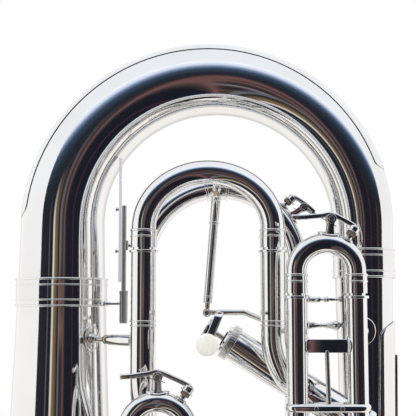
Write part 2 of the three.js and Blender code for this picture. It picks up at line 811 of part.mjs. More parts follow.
// ---- Tubes between the valves, and from the third to the fourth ----
const knuckle = (i, t) => {
  const from = enter(i, t, onValve(i + 1, t));
  const to = enter(i + 1, t, onValve(i, t));
  const route = routeOf([from, to]);
  return cut(tube(route, even(route, 8.4), even(route, 7.4)), casingSpace(i), casingSpace(i + 1));
};
add("knuckle_first_second", "silver", knuckle(0, 94));
add("knuckle_second_third", "silver", knuckle(1, 112));
const crossStart = enter(2, 92, vec(200, VALVE_Y, VALVE_START_Z + 92));
const crossEnd = enter(3, 112, vec(212, -60, 470));
const crossRoute = routeOf(
  [crossStart, vec(206, VALVE_Y, crossStart.z), vec(214, -58, 480), crossEnd],
  [22, 30],
  Math.PI / 6,
);
add(
  "fourth_valve_feed",
  "silver",
  cut(tube(crossRoute, even(crossRoute, 9.6), even(crossRoute, 8.6)), casingSpace(2), casingSpace(3)),
);

// ---- Mouthpipe, receiver and mouthpiece ----
const receiverEnd = vec(-14, 124, 296);
const mouthAxis = vec(0.35, 0.86, -0.37).normalize();
const pipeTarget = enter(0, 36, vec(0, -84, 376));
const pipeCurve = new THREE.CatmullRomCurve3([
  receiverEnd.clone().addScaledVector(mouthAxis, -30),
  vec(-52, 72, 326),
  vec(-96, 50, 344),
  vec(-122, 4, 358),
  vec(-104, -48, 366),
  vec(-58, -82, 373),
  vec(0, -86, 376),
  pipeTarget,
]);
const PIPE_STEPS = 16;
const pipeRoute = withLengths(
  pipeCurve.getSpacedPoints(PIPE_STEPS).map((point, i) => ({
    point,
    along: pipeCurve.getTangentAt(i / PIPE_STEPS),
  })),
  vec(0, 0, 1),
);
const pipeLength = lengthOf(pipeRoute);
const along = (t) => receiverEnd.clone().addScaledVector(mouthAxis, t);
add(
  "mouthpipe",
  "silver",
  union(
    cut(tube(pipeRoute, [[0, 6.6], [pipeLength, 9.2]], [[0, 5.6], [pipeLength, 8.2]]), casingSpace(0)),
    tube(
      routeOf([along(-42), along(0)]),
      [[0, 7.6], [0, 8.2], [30, 8.8], [34, 10.4], [42, 10.4]],
      [[0, 5.8], [12, 5.8], [12, 7.2], [42, 7.4]],
    ),
  ),
);
const MOUTHPIECE_LENGTH = 88;
add(
  "mouthpiece",
  "silver",
  turned(
    routeOf([along(-26), along(MOUTHPIECE_LENGTH - 26)]),
    [
      [0, 4.6],
      [0, 6],
      [26, 6.9],
      [38, 8.4],
      [50, 10.5],
      [64, 17],
      [78, 20],
      [84, 21],
      [88, 20],
      [88, 16.5],
      [82, 16],
      [66, 12.5],
      [54, 4.4],
      [48, 4],
    ],
    12,
  ),
);

// ---- Valve pieces ----
const portTools = ports.map((list, i) =>
  list.map(([target, from]) => {
    const outward = from.clone().sub(target);
    outward.addScaledVector(valves[i].axis, -outward.dot(valves[i].axis)).normalize();
    return rod(target.clone().addScaledVector(outward, 9), target.clone().addScaledVector(outward, 24), 7.2);
  }),
);
const NAMES = ["first", "second", "third", "fourth"];
NAMES.forEach((name, i) => {
  const route = valveRoute(i);
  const shape = (outline, sides = VALVE_SIDES) => turned(route, onAxis(outline), sides);
  const end = CASING.length;
  add(
    `${name}_casing`,
    "silver",
    cut(shape([[0, CASING.bore], [0, CASING.r], [end, CASING.r], [end, CASING.bore]]), ...portTools[i]),
  );
  add(
    `${name}_top_cap`,
    "silver",
    shape([
      [-5, 4.4],
      [-5, 13],
      [-2, 15],
      [-2, CAP_R],
      [5.5, CAP_R],
      [5.5, CASING.r + 0.4],
      [-0.4, CASING.r + 0.4],
      [-0.4, 4.4],
    ]),
  );
  add(
    `${name}_bottom_cap`,
    "silver",
    shape([
      [end - 5, CASING.r + 0.4],
      [end - 5, CAP_R],
      [end + 2, CAP_R],
      [end + 5, 12],
      [end + 6, 0],
      [end + 0.4, 0],
      [end + 0.4, CASING.r + 0.4],
    ]),
  );
  const across = Math.abs(valves[i].axis.z) > 0.9 ? vec(1, 0, 0) : vec(0, 1, 0);
  const passages = [52, 78, 104].map((t) =>
    rod(onValve(i, t).addScaledVector(across, -20), onValve(i, t).addScaledVector(across, 20), 7, 8),
  );
  add(
    `${name}_piston`,
    "nickel",
    cut(
      union(
        shape([
          [PISTON.start, 0],
          [PISTON.start, PISTON.r],
          [PISTON.end, PISTON.r],
          [PISTON.end, PISTON.bore],
          [PISTON.start + 3, PISTON.bore],
          [PISTON.start + 3, 0],
        ]),
        pin(onValve(i, BUTTON.end + GAP), onValve(i, PISTON.start + 1), STEM_R),
      ),
      ...passages,
    ),
  );
  add(
    `${name}_button`,
    "pearl",
    shape([
      [BUTTON.start, 0],
      [BUTTON.start, BUTTON.r - 1.2],
      [BUTTON.start + 1.5, BUTTON.r],
      [BUTTON.end - 1.2, BUTTON.r],
      [BUTTON.end, BUTTON.r - 2],
      [BUTTON.end, 0],
    ]),
  );
  add(
    `${name}_spring`,
    "steel",
    shape([[PISTON.end + 0.4, 9], [PISTON.end + 0.4, 11], [end, 11], [end, 9]], 12),
  );
});

// ---- Trigger, its post, the connecting rod and the touchpiece ----
// A flat bar between two points, its wide side turned towards the given direction.
function strip(from, to, facing, width, thickness) {
  const ahead = to.clone().sub(from).normalize();
  const wide = facing.clone().cross(ahead).normalize();
  const middle = from.clone().lerp(to, 0.5);
  const basis = new THREE.Matrix4().makeBasis(ahead, wide, ahead.clone().cross(wide)).setPosition(middle);
  return solid(new THREE.BoxGeometry(from.distanceTo(to), width, thickness).applyMatrix4(basis));
}

const pivotAt = (y) => vec(PIVOT.x, y, PIVOT.z);
const PIVOT_PIN_R = 2;
const LEVER_R = 2.8;
add(
  "trigger_post",
  "silver",
  cut(
    union(
      pin(pivotAt(-28), pivotAt(-6), PIVOT_PIN_R),
      rod(pivotAt(-30), pivotAt(-27.5), 4.4),
      block(vec(PIVOT.x - 5, -7.8, PIVOT.z - 6), vec(MAIN.right - 4, -4.8, PIVOT.z + 6)),
    ),
    rod(vec(MAIN.right, 0, 560), vec(MAIN.right, 0, 648.8), THIRD_START_R + GAP),
  ),
);
const LEVER_Y = LINK.y + 6; // the lever's arm lies behind the rod's eye, and its pin comes forward through it
const leverBend = vec(136, LEVER_Y, LINK.z);
const armX = LINK.x + 11;
const armFront = vec(armX, TOUCH.y + 5, LINK.z); // the arm comes forward before it drops to the touchpiece
add(
  "trigger_lever",
  "silver",
  union(
    cut(
      union(
        rod(pivotAt(-27), pivotAt(-9.2), 5.4),
        pin(vec(PIVOT.x - 4, LEVER_Y, PIVOT.z - 1), leverBend, LEVER_R),
      ),
      rod(pivotAt(-40), pivotAt(0), PIVOT_PIN_R + 0.35, 8),
    ),
    pin(leverBend.clone().add(vec(0.5, 0, 0)), vec(LINK.x, LEVER_Y, LINK.z), LEVER_R),
    ball(leverBend, LEVER_R + 0.2),
    pin(vec(LINK.x, LEVER_Y + 3, LINK.z), vec(LINK.x, LINK.y - 3.5, LINK.z), 1.6),
    pin(vec(LINK.x, LINK.y - 3, LINK.z), vec(LINK.x, LINK.y - 4.6, LINK.z), 3.4),
    pin(vec(armX, LEVER_Y, LINK.z), armFront, 2),
    ball(armFront, 2.1),
    strip(armFront, vec(TOUCH.x, TOUCH.y + 2.5, TOUCH.z), Y_AXIS, 5.8, 2.4),
    rod(vec(TOUCH.x, TOUCH.y, TOUCH.z), vec(TOUCH.x, TOUCH.y + 3, TOUCH.z), TOUCH.r, 12),
  ),
);
add(
  "touchpiece",
  "pearl",
  turned(
    routeOf([vec(TOUCH.x, TOUCH.y - 0.3, TOUCH.z), vec(TOUCH.x, TOUCH.y - 4, TOUCH.z)], [], 1, vec(0, 0, 1)),
    [[0, 0], [0, TOUCH.r], [2, TOUCH.r], [3.4, TOUCH.r - 3], [3.7, 0]],
    16,
  ),
);
const rodTop = vec(BALL.x, BALL.y, BALL.z);
const rodBottom = vec(LINK.x, LINK.y, LINK.z);
const rodRoute = routeOf([rodTop, rodBottom]);
const rodLength = lengthOf(rodRoute);
add(
  "connecting_rod",
  "silver",
  union(
    turned(rodRoute, [
      [5.6, 0],
      [5.6, 2.4],
      [9, 2.4],
      [9, 4.7],
      [35, 4.7],
      [35, 5.1],
      [36.5, 5.1],
      [36.5, 4.5],
      [rodLength - 16, 4.5],
      [rodLength - 16, 5.1],
      [rodLength - 9, 5.1],
      [rodLength - 9, 2.4],
      [rodLength - 3.6, 2.4],
      [rodLength - 3.6, 0],
    ]),
    cut(
      rod(vec(LINK.x, LINK.y - 1.7, LINK.z), vec(LINK.x, LINK.y + 1.7, LINK.z), 4.7, 12),
      rod(vec(LINK.x, LINK.y - 5, LINK.z), vec(LINK.x, LINK.y + 5, LINK.z), 3.1, 12),
    ),
  ),
);

// ---- Guide for the main slide, on the bell's inner side ----
const barrelX = GUIDE.x;
add(
  "guide_barrel",
  "steel",
  union(
    tube(
      upright(barrelX, GUIDE.y, 624, 655.5),
      [[0, 2.4], [4, 3.9], [31.5, 3.9]],
      [[0, 1.4], [6, 2.6], [31.5, 2.6]],
    ),
    cut(
      pin(vec(barrelX - 3.2, GUIDE.y, 643), vec(BELL_X + 30, -14, 643), 1.8),
      rod(vec(BELL_X, 0, 600), vec(BELL_X, 0, 700), bellRadius(640) + 3.7, BELL_SIDES),
    ),
  ),
);
// ---- Braces ----
const bellSpace = turned(
  routeOf([vec(BELL_X, 0, 0), vec(BELL_X, 0, 700)]),
  [[100, 0], ...[100, 200, 300, 400, 500, 600, 640].map((z) => [z, bellRadius(z) + 0.8]), [640, 0]],
  32,
);
const branchSpace = rod(vec(BRANCH_X, 0, 560), vec(BRANCH_X, 0, 640), branchRadiusAt(600) + 2.2, 24);
const clearRadius = 0.5;
// A rod between two upright tubes, with a round foot on each; the caller cuts the tubes' spaces from it.
function brace(from, fromR, to, toR, r, foot) {
  const way = to.clone().sub(from).normalize();
  const start = from.clone().addScaledVector(way, fromR - 3.4);
  const end = to.clone().addScaledVector(way, 3.4 - toR);
  const route = routeOf([start, end]);
  const total = lengthOf(route);
  return turned(route, [
    [0, 0],
    [0, foot],
    [6, foot],
    [6, r],
    [total - 6, r],
    [total - 6, foot],
    [total, foot],
    [total, 0],
  ]);
}
const tubeSpace = (x, y, r, z0, z1) => rod(vec(x, y, z0), vec(x, y, z1), r + clearRadius, 24);
const fourthOuter = FOURTH.r + 0.4;
const thirdOuter = THIRD.r + 0.4;
add(
  "bell_brace",
  "silver",
  cut(
    union(
      brace(vec(BELL_X, 0, 610), bellRadius(610), vec(FOURTH.left, FOURTH.y, 609), fourthOuter, 2.6, 8),
      ball(vec(4, -43, 609.4), 4.4),
    ),
    bellSpace,
    tubeSpace(FOURTH.left, FOURTH.y, fourthOuter, 580, 640),
  ),
);
add(
  "branch_brace",
  "silver",
  cut(
    brace(
      vec(BRANCH_X, 0, 617),
      branchRadiusAt(617) + 1.6,
      vec(THIRD.right, THIRD.y, 617),
      thirdOuter,
      2.6,
      9,
    ),
    branchSpace,
    tubeSpace(THIRD.right, THIRD.y, thirdOuter, 580, 640),
  ),
);

// ---- Water keys: a rocking lever on a post, whose cork closes the drain of a slide bow ----
const WATER_KEYS = { main_water_key: MAIN_KEY, third_water_key: THIRD_KEY, first_water_key: FIRST_KEY };
for (const [name, key] of Object.entries(WATER_KEYS)) {
  const { pivot, seat, out, tip, y } = key;
  const seatAt = (t) => seat.clone().addScaledVector(out, t);
  const barrel = rod(vec(pivot.x, y - 4, pivot.z), vec(pivot.x, y + 4, pivot.z), 3.7);
  add(
    name,
    "silver",
    cut(
      union(
        barrel,
        bar(pivot, tip, 5.5, 2.4),
        bar(pivot, seatAt(12), 5.5, 2.4),
        rod(seatAt(7.5), seatAt(12.6), 5),
        rod(seatAt(3.6), seatAt(7.7), 4),
      ),
      rod(vec(pivot.x, y - 9, pivot.z), vec(pivot.x, y + 9, pivot.z), 1.9, 8),
    ),
  );
}

export default tuba;
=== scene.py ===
"""Looks of a silver-plated compensating tuba that stands on its bell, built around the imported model.

Shapes are worked out in millimetres, +Z up, in the model's own frame, and turned into metres when a
piece is made. Every tube is an outline of [length, radius] pairs turned round a route.
"""

from math import acos, ceil, cos, exp, hypot, pi, radians, sin, sqrt, tan

import bmesh
import bpy
import numpy as np
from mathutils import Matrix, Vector


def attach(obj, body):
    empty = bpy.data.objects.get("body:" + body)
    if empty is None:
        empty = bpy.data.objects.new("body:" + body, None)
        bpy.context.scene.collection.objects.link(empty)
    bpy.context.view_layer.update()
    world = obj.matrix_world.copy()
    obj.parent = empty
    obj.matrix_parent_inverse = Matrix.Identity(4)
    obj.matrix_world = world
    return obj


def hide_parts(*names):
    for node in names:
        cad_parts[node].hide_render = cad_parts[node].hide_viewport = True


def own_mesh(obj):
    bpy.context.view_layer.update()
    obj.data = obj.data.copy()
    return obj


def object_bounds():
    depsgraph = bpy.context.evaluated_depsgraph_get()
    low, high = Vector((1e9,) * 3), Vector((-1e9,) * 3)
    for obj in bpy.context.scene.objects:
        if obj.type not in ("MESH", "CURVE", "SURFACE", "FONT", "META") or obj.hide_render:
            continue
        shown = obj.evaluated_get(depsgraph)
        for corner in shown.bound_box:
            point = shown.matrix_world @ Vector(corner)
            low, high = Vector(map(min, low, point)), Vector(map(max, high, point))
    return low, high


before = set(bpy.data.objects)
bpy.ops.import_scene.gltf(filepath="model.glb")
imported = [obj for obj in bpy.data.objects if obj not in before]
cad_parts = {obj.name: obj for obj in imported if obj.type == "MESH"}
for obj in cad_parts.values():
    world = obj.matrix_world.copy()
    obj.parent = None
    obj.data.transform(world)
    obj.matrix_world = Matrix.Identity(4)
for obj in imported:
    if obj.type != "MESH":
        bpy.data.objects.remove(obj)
cad_box = [list(corner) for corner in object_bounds()]


class Sizes:
    """Named measures of one slide or of one water key."""

    def __init__(self, **sizes):
        vars(self).update(sizes)


# ---- Driving dimensions, in millimetres ----
MM = 0.001
GAP = 0.3
ARC = radians(3)  # the turn between two stations of a bent tube

BELL_X = -45.4
RIM_R = 241.5
RIM_HEIGHT = 3.5
FLARE_LENGTH = 21.5
BELL_WALL = 1.2
BELL_TOP = 654
FLARE_TOP = 120

BRANCH_X = 255.4
BOW_SPRING_Z = 719
BOW_START_R = 43
BOW_END_R = 28.7
BOW_WALL = 1.2
BRANCH_TOP = 683
BRANCH_END = 300
BRANCH_END_R = 22
THIRD_START_R = 11
THIRD_END_R = 18

MAIN = Sizes(
    left=35.6, right=188.4, y=0, spring=682.3, rise=76.4, r=10.6, mouth=652, foot=560, foot_right=560
)
FOURTH = Sizes(
    left=41, right=159.4, y=-75, spring=712.6, rise=51.4, r=11.2, mouth=692, foot=590, foot_right=628
)
THIRD = Sizes(
    left=176.6, right=228.8, y=-115, spring=671, rise=24.6, r=8.8, mouth=650, foot=565, foot_right=565
)
FIRST = Sizes(left=30.6, right=82.6, y=-110, spring=533, rise=26, r=8.8, mouth=511, foot=474, foot_right=474)
SECOND = Sizes(low=398, high=436, x=103, mouth=-34, leg=-58, spring=-22, r=7.8)

VALVE_Y = -78
VALVE_X = (60, 103, 146)
VALVE_Z = 340
CASING_R = 15.2
CASING_BORE = 13.6
CASING_END = 150
CAP_R = 17.2
PISTON_R = 13.2
PISTON_BORE = 11.2
PISTON_START = 34
PISTON_END = 122
STEM_R = 3
BUTTON_R = 10.5
BUTTON_START = -26
BUTTON_DEPTH = 5
BUTTON_END = BUTTON_START + BUTTON_DEPTH
INTO_CASING = 8  # how far from a valve's axis a tube ends before its end is cut to the casing
FOURTH_START = np.array([119.4, -44, 607.5])
FOURTH_ANGLE = radians(32)

PIVOT = np.array([163, -17, 626.0])
LINK = np.array([98.9, -17, 634.3])
BALL = np.array([108.8, -17.5, 757.3])
BALL_R = 4.5
TOUCH = np.array([99.2, -121, 608.0])
TOUCH_R = 9.8
BELL_FERRULE = (640, 668)
BRANCH_FERRULE = (668, 697)
BRANCH_BRACE_Z = 617
MAIN_LOW_Z = 478  # where the main tube runs across
MOUTHPIECE_IN = 26  # how far the shank goes into the receiver
GUIDE_X = 17.8
GUIDE_Y = -20
GUIDE_TOP = 739
GUIDE_BOTTOM = 634

X_AXIS = np.array([1.0, 0, 0])
Y_AXIS = np.array([0, 1.0, 0])
Z_AXIS = np.array([0, 0, 1.0])


# ---- Routes ----
def vec(*values):
    return np.array(values, float)


def unit(vector):
    return np.asarray(vector, float) / np.linalg.norm(vector)


def circle(sides):
    return np.linspace(0, 2 * pi, sides, endpoint=False)


def normalised(rows):
    return rows / np.linalg.norm(rows, axis=-1, keepdims=True)


class Route:
    """Stations along a line, each with its point, its direction and the direction across it."""

    def __init__(self, points, along, hint=Y_AXIS):
        points = np.array(points, float)
        along = np.array(along, float)
        steps = np.linalg.norm(np.diff(points, axis=0), axis=1)
        kept = np.r_[True, steps > 1e-6]
        self.points = points[kept]
        self.along = normalised(along[kept])
        self.lengths = np.r_[0, np.cumsum(steps[steps > 1e-6])]
        self.total = self.lengths[-1]
        across = Z_AXIS if abs(hint @ self.along[0]) > 0.95 else hint
        self.across = np.empty_like(self.points)
        for i, direction in enumerate(self.along):
            across = unit(across - (across @ direction) * direction)
            self.across[i] = across

    def at(self, s):
        s = np.asarray(s, float)
        inside = np.clip(s, 0, self.total)

        def blended(rows):
            return np.stack([np.interp(inside, self.lengths, column) for column in rows.T], -1)

        along = normalised(blended(self.along))
        across = blended(self.across)
        across = normalised(across - (across * along).sum(-1, keepdims=True) * along)
        point = blended(self.points) + (s - inside)[..., None] * along
        return point, along, across, np.cross(across, along)


def straight(start, end, hint=Y_AXIS):
    start, end = np.asarray(start, float), np.asarray(end, float)
    return Route([start, end], [end - start, end - start], hint)


def upright(x, y, start, end, count=1):
    heights = np.linspace(start, end, count + 1)
    direction = vec(0, 0, np.sign(end - start))
    return Route([vec(x, y, z) for z in heights], [direction] * (count + 1))


def bent(corners, radii, hint=Y_AXIS):
    """Straight runs between corners, each corner rounded to its radius."""
    corners = [np.asarray(corner, float) for corner in corners]
    headings = [unit(b - a) for a, b in zip(corners, corners[1:])]
    points, along = [corners[0]], [headings[0]]
    for corner, before, after, radius in zip(corners[1:-1], headings, headings[1:], radii):
        turn = acos(np.clip(before @ after, -1, 1))
        start = corner - before * radius * tan(turn / 2)
        inward = unit(after - before * (after @ before))
        centre = start + inward * radius
        for angle in np.linspace(0, turn, max(2, ceil(turn / ARC) + 1)):
            points.append(centre - inward * radius * cos(angle) + before * radius * sin(angle))
            along.append(before * cos(angle) + inward * sin(angle))
    points.append(corners[-1])
    along.append(headings[-1])
    return Route(points, along, hint)


def bow(left, right, y, spring, rise, foot_left, foot_right):
    """Up one leg, over half an ellipse and down the other leg, in a plane of constant Y."""
    middle, half = (left + right) / 2, (right - left) / 2
    points, along = [vec(left, y, foot_left)], [Z_AXIS]
    for angle in np.linspace(pi, 0, round(pi / ARC) + 1):
        points.append(vec(middle + half * cos(angle), y, spring + rise * sin(angle)))
        along.append(vec(half * sin(angle), 0, -rise * cos(angle)))
    points.append(vec(right, y, foot_right))
    along.append(-Z_AXIS)
    return Route(points, along)


def curve_through(points, hint=Y_AXIS, count=12):
    """A smooth line through given points."""
    points = [np.asarray(point, float) for point in points]
    padded = [2 * points[0] - points[1], *points, 2 * points[-1] - points[-2]]
    made = []
    for a, b, c, d in zip(padded, padded[1:], padded[2:], padded[3:]):
        for t in np.linspace(0, 1, count, endpoint=False):
            bend = 2 * a - 5 * b + 4 * c - d
            twist = 3 * b - a - 3 * c + d
            made.append(0.5 * (2 * b + (c - a) * t + bend * t**2 + twist * t**3))
    made.append(points[-1])
    made = np.array(made)
    return Route(made, np.gradient(made, axis=0), hint)


# ---- Outlines ----
def softened(outline, reach=0.5, steps=3):
    """The outline with each corner rounded over up to reach along either side."""
    points = [np.array(point, float) for point in outline]
    closed = points[0][1] > 0
    last = len(points) - 1
    made = []
    for i, corner in enumerate(points):
        before, after = points[i - 1] - corner, points[(i + 1) % len(points)] - corner
        room = min(np.linalg.norm(before), np.linalg.norm(after))
        if (not closed and i in (0, last)) or room < 1e-9:
            made.append(corner)
            continue
        turn = acos(np.clip(-unit(before) @ unit(after), -1, 1))
        if turn < radians(15):
            made.append(corner)
            continue
        size = min(reach, 0.48 * room)
        start, end = corner + unit(before) * size, corner + unit(after) * size
        for t in np.linspace(0, 1, steps + 1):
            made.append((1 - t) ** 2 * start + 2 * t * (1 - t) * corner + t**2 * end)
    return made


def bead(at, radius, height=0.7, width=2.0, steps=8):
    """Outline points of a half-round ring that stands on a tube."""
    angles = np.linspace(pi, 0, steps + 1)
    return [(at + width / 2 * cos(a), radius + height * sin(a)) for a in angles]


def mirrored(outline, total):
    return [(total - s, r) for s, r in reversed(outline)]


# ---- Shapes: a list of vertices in millimetres and a list of faces ----
def lattice(grid, around=True, ends=False, loop=False):
    """A shape from rows of points. around closes each row, loop joins the last row to the first."""
    rows, columns = grid.shape[:2]
    faces = []
    for i in range(rows if loop else rows - 1):
        here, there = i * columns, ((i + 1) % rows) * columns
        for j in range(columns if around else columns - 1):
            k = (j + 1) % columns
            faces.append((here + j, here + k, there + k, there + j))
    if ends:
        faces.append(tuple(range(columns)))
        faces.append(tuple(range((rows - 1) * columns, rows * columns)))
    return grid.reshape(-1, 3), faces


def turned(route, outline, sides=48, relief=None):
    """A turned shape bent along a route. relief gives each point's added radius from length and angle."""
    outline = np.array(outline, float)
    closed = outline[0, 1] > 0
    loop = np.vstack([outline, outline[:1]]) if closed else outline
    rows = []
    for (s, r), (s_next, r_next) in zip(loop, loop[1:]):
        rows.append((s, r))
        between = route.lengths[(route.lengths - s) * (route.lengths - s_next) < -1e-6]
        for b in between if s_next > s else between[::-1]:
            rows.append((b, r + (r_next - r) * (b - s) / (s_next - s)))
    if not closed:
        rows.append(tuple(loop[-1]))
    s, r = np.array(rows).T
    angle = circle(sides)
    point, _, across, aside = route.at(s)
    radius = np.repeat(r[:, None], sides, 1)
    if relief:
        radius = radius + relief(s[:, None], angle[None, :]) * (r[:, None] > 0)
    grid = (
        point[:, None] + (radius * np.cos(angle))[..., None] * across[:, None]
        + (radius * np.sin(angle))[..., None] * aside[:, None]
    )
    return lattice(grid, loop=closed)


def tube(route, outer, inner, sides=48):
    return turned(route, [*outer, *reversed(inner)], sides)


def rod(start, end, r, sides=24, soft=0.4):
    route = straight(start, end)
    total = route.total
    return turned(route, softened([(0, 0), (0, r), (total, r), (total, 0)], soft), sides)


def lathe(start, direction, outline, sides=40, soft=0.4, relief=None):
    """A turned shape on a straight axis. soft rounds its corners."""
    start, direction = np.asarray(start, float), unit(direction)
    low = min(s for s, _ in outline)
    high = max(s for s, _ in outline)
    route = straight(start + direction * low, start + direction * high)
    moved = [(s - low, r) for s, r in outline]
    return turned(route, softened(moved, soft) if soft else moved, sides, relief)


def disc(start, direction, r, height, sides=24, soft=0.4):
    return rod(start, start + unit(direction) * height, r, sides, soft)


def sphere(centre, r, sides=32, rows=16):
    centre = np.asarray(centre, float)
    angles = np.linspace(0, pi, rows + 1)
    return lathe(centre, Z_AXIS, [(-r * cos(a), max(0, r * sin(a))) for a in angles], sides, 0)


def rounded(width, height, radius, steps=4):
    """A rectangle's section with rounded corners, centred on the line."""
    made = []
    for quarter, (sx, sy) in enumerate(((1, 1), (-1, 1), (-1, -1), (1, -1))):
        centre = (sx * (width / 2 - radius), sy * (height / 2 - radius))
        for angle in np.linspace(0, pi / 2, steps + 1) + quarter * pi / 2:
            made.append((centre[0] + radius * cos(angle), centre[1] + radius * sin(angle)))
    return np.array(made)


def swept(route, section, soft=0.0, widths=None):
    """A section swept along a route, with its ends rounded over soft. widths scales it across."""
    section = np.array(section, float)
    half = np.abs(section).max(0)
    rounding = soft * (1 - np.cos(np.linspace(0, pi / 2, 6)))
    inner = route.lengths[(route.lengths > soft) & (route.lengths < route.total - soft)]
    if widths:
        inner = np.unique(np.r_[inner, np.linspace(soft, route.total - soft, 24)])
    s = np.unique(np.r_[rounding, inner, route.total - rounding])
    depth = np.minimum(s, route.total - s)
    inset = soft - np.sqrt(np.maximum(0, soft**2 - (soft - np.minimum(depth, soft)) ** 2))
    share = 1 - inset[:, None] / half
    if widths:
        share[:, 0] *= np.array([widths(v / route.total) for v in s])
    point, _, across, aside = route.at(s)
    scaled = section[None] * share[:, None]
    grid = point[:, None] + scaled[..., :1] * across[:, None] + scaled[..., 1:] * aside[:, None]
    return lattice(grid, ends=True)


def brick(low, high, soft=0.8):
    """A block with rounded edges, its long axis found from its corners."""
    low, high = np.array(low, float), np.array(high, float)
    axis = int(np.argmax(high - low))
    middle = (low + high) / 2
    start, end = middle.copy(), middle.copy()
    start[axis], end[axis] = low[axis], high[axis]
    route = straight(start, end, Y_AXIS if axis != 1 else X_AXIS)
    _, _, across, aside = route.at(0.0)
    size = high - low
    return swept(route, rounded(abs(across @ size), abs(aside @ size), soft), soft)


def plate(outline_at, heights, place):
    """A flat plate: outline_at(inset) gives its outline, heights its (height, inset) pairs."""
    rows = [[place(u, v, height) for u, v in outline_at(inset)] for height, inset in heights]
    return lattice(np.array(rows), ends=True)


def edge_profile(thickness, soft, steps=4):
    """(height, inset) pairs of a plate's rounded edge, from its underside to its top."""
    angles = np.linspace(0, pi / 2, steps + 1)
    under = [(soft * (1 - sin(a)), soft * (1 - cos(a))) for a in angles[::-1]]
    over = [(thickness - h, inset) for h, inset in reversed(under)]
    return under + over


def stadium(length, radius, steps=12):
    def outline(inset):
        r = radius - inset
        half_turn = np.linspace(-pi / 2, pi / 2, steps)
        right = [(length / 2 + r * cos(a), r * sin(a)) for a in half_turn]
        left = [(-length / 2 - r * cos(a), -r * sin(a)) for a in half_turn]
        return right + left

    return outline


def wrapped(route, stops, radius_at, width_at, low, high, columns=20):
    """A sheet wrapped round the outer side of a tube, with rounded edges."""
    rim = (high - low) / 2
    middle = (high + low) / 2
    stops = np.array(stops, float)
    edge = np.linspace(0, pi, 6)[1:-1]
    rows = []
    for s in stops:
        half = width_at(s) - rim
        over = [(w, high) for w in np.linspace(-half, half, columns)]
        right = [(half + rim * sin(a), middle + rim * cos(a)) for a in edge]
        under = [(w, low) for w in np.linspace(half, -half, columns)]
        left = [(-half - rim * sin(a), middle - rim * cos(a)) for a in edge]
        rows.append(over + right + under + left)
    rows = np.array(rows)
    point, _, across, aside = route.at(stops)
    tube_radius = np.array([radius_at(s) for s in stops])[:, None]
    angle = rows[..., 0] / tube_radius
    radius = tube_radius + rows[..., 1]
    grid = (
        point[:, None] - (radius * np.cos(angle))[..., None] * aside[:, None]
        + (radius * np.sin(angle))[..., None] * across[:, None]
    )
    return lattice(grid, ends=True)


def flange(centre, along, out, radius, length, width, height=0.9, steps=40):
    """An oval foot soldered on a tube: centre is on the tube's axis, out points to the foot."""
    along = unit(along)
    out = unit(np.asarray(out, float) - (out @ along) * along)
    side = np.cross(along, out)
    rows = []
    rings = [
        (0.02, 1.0), (0.5, 1.0), (0.8, 1.0), (0.9, 0.9), (0.96, 0.62), (0.99, 0.3), (1.0, 0.0), (1.0, -0.6)
    ]
    for share, rise in rings:
        row = []
        for angle in circle(steps):
            u, v = share * length / 2 * cos(angle), share * width / 2 * sin(angle)
            bend = v / radius
            reach = radius + height * rise
            row.append(centre + along * u + reach * (cos(bend) * out + sin(bend) * side))
        rows.append(row)
    return lattice(np.array(rows), ends=True)


def helix(start, direction, radius, length, turns, wire, per_turn=28, sides=10):
    """A coil of wire round an axis, its ends closed flat against their seats."""
    start, direction = np.asarray(start, float), unit(direction)
    side = unit(np.cross(direction, X_AXIS if abs(direction @ X_AXIS) < 0.9 else Y_AXIS))
    other = np.cross(direction, side)
    t = np.linspace(0, 1, int(turns * per_turn) + 1)
    climb = np.clip((t * turns - 0.8) / (turns - 1.6), 0, 1)
    rise = wire + (length - 2 * wire) * climb
    angle = 2 * pi * turns * t
    points = (
        start + rise[:, None] * direction + radius
        * (np.cos(angle)[:, None] * side + np.sin(angle)[:, None] * other)
    )
    route = Route(points, np.gradient(points, axis=0), direction)
    around = circle(sides)
    return swept(route, wire * np.stack([np.cos(around), np.sin(around)], 1), wire * 0.5)


def screw_head(centre, out, r, height=1.2, slot_way=None, hollow=0.45):
    """A screw's head with a cut slot, made as two half heads on a base."""
    centre, out = np.asarray(centre, float), unit(out)
    way = unit(np.cross(out, Z_AXIS if slot_way is None else slot_way))
    ahead = np.cross(way, out)
    base = disc(centre, out, r, height - hollow, 28, 0.15)
    halves = []
    for sign in (-1, 1):
        gap = 0.14 * r
        span = acos(gap / r)
        rows = []
        for level, inset in ((height - hollow - 0.1, 0.0), (height - 0.2, 0.0), (height, 0.22)):
            angles = np.linspace(-span, span, 16)
            rim = r - inset
            row = [
                centre + out * level + sign * way * max(gap + 0.02, rim * cos(a)) + ahead * rim * sin(a)
                for a in angles
            ]
            rows.append(row)
        halves.append(lattice(np.array(rows), ends=True))
    return [base, *halves]


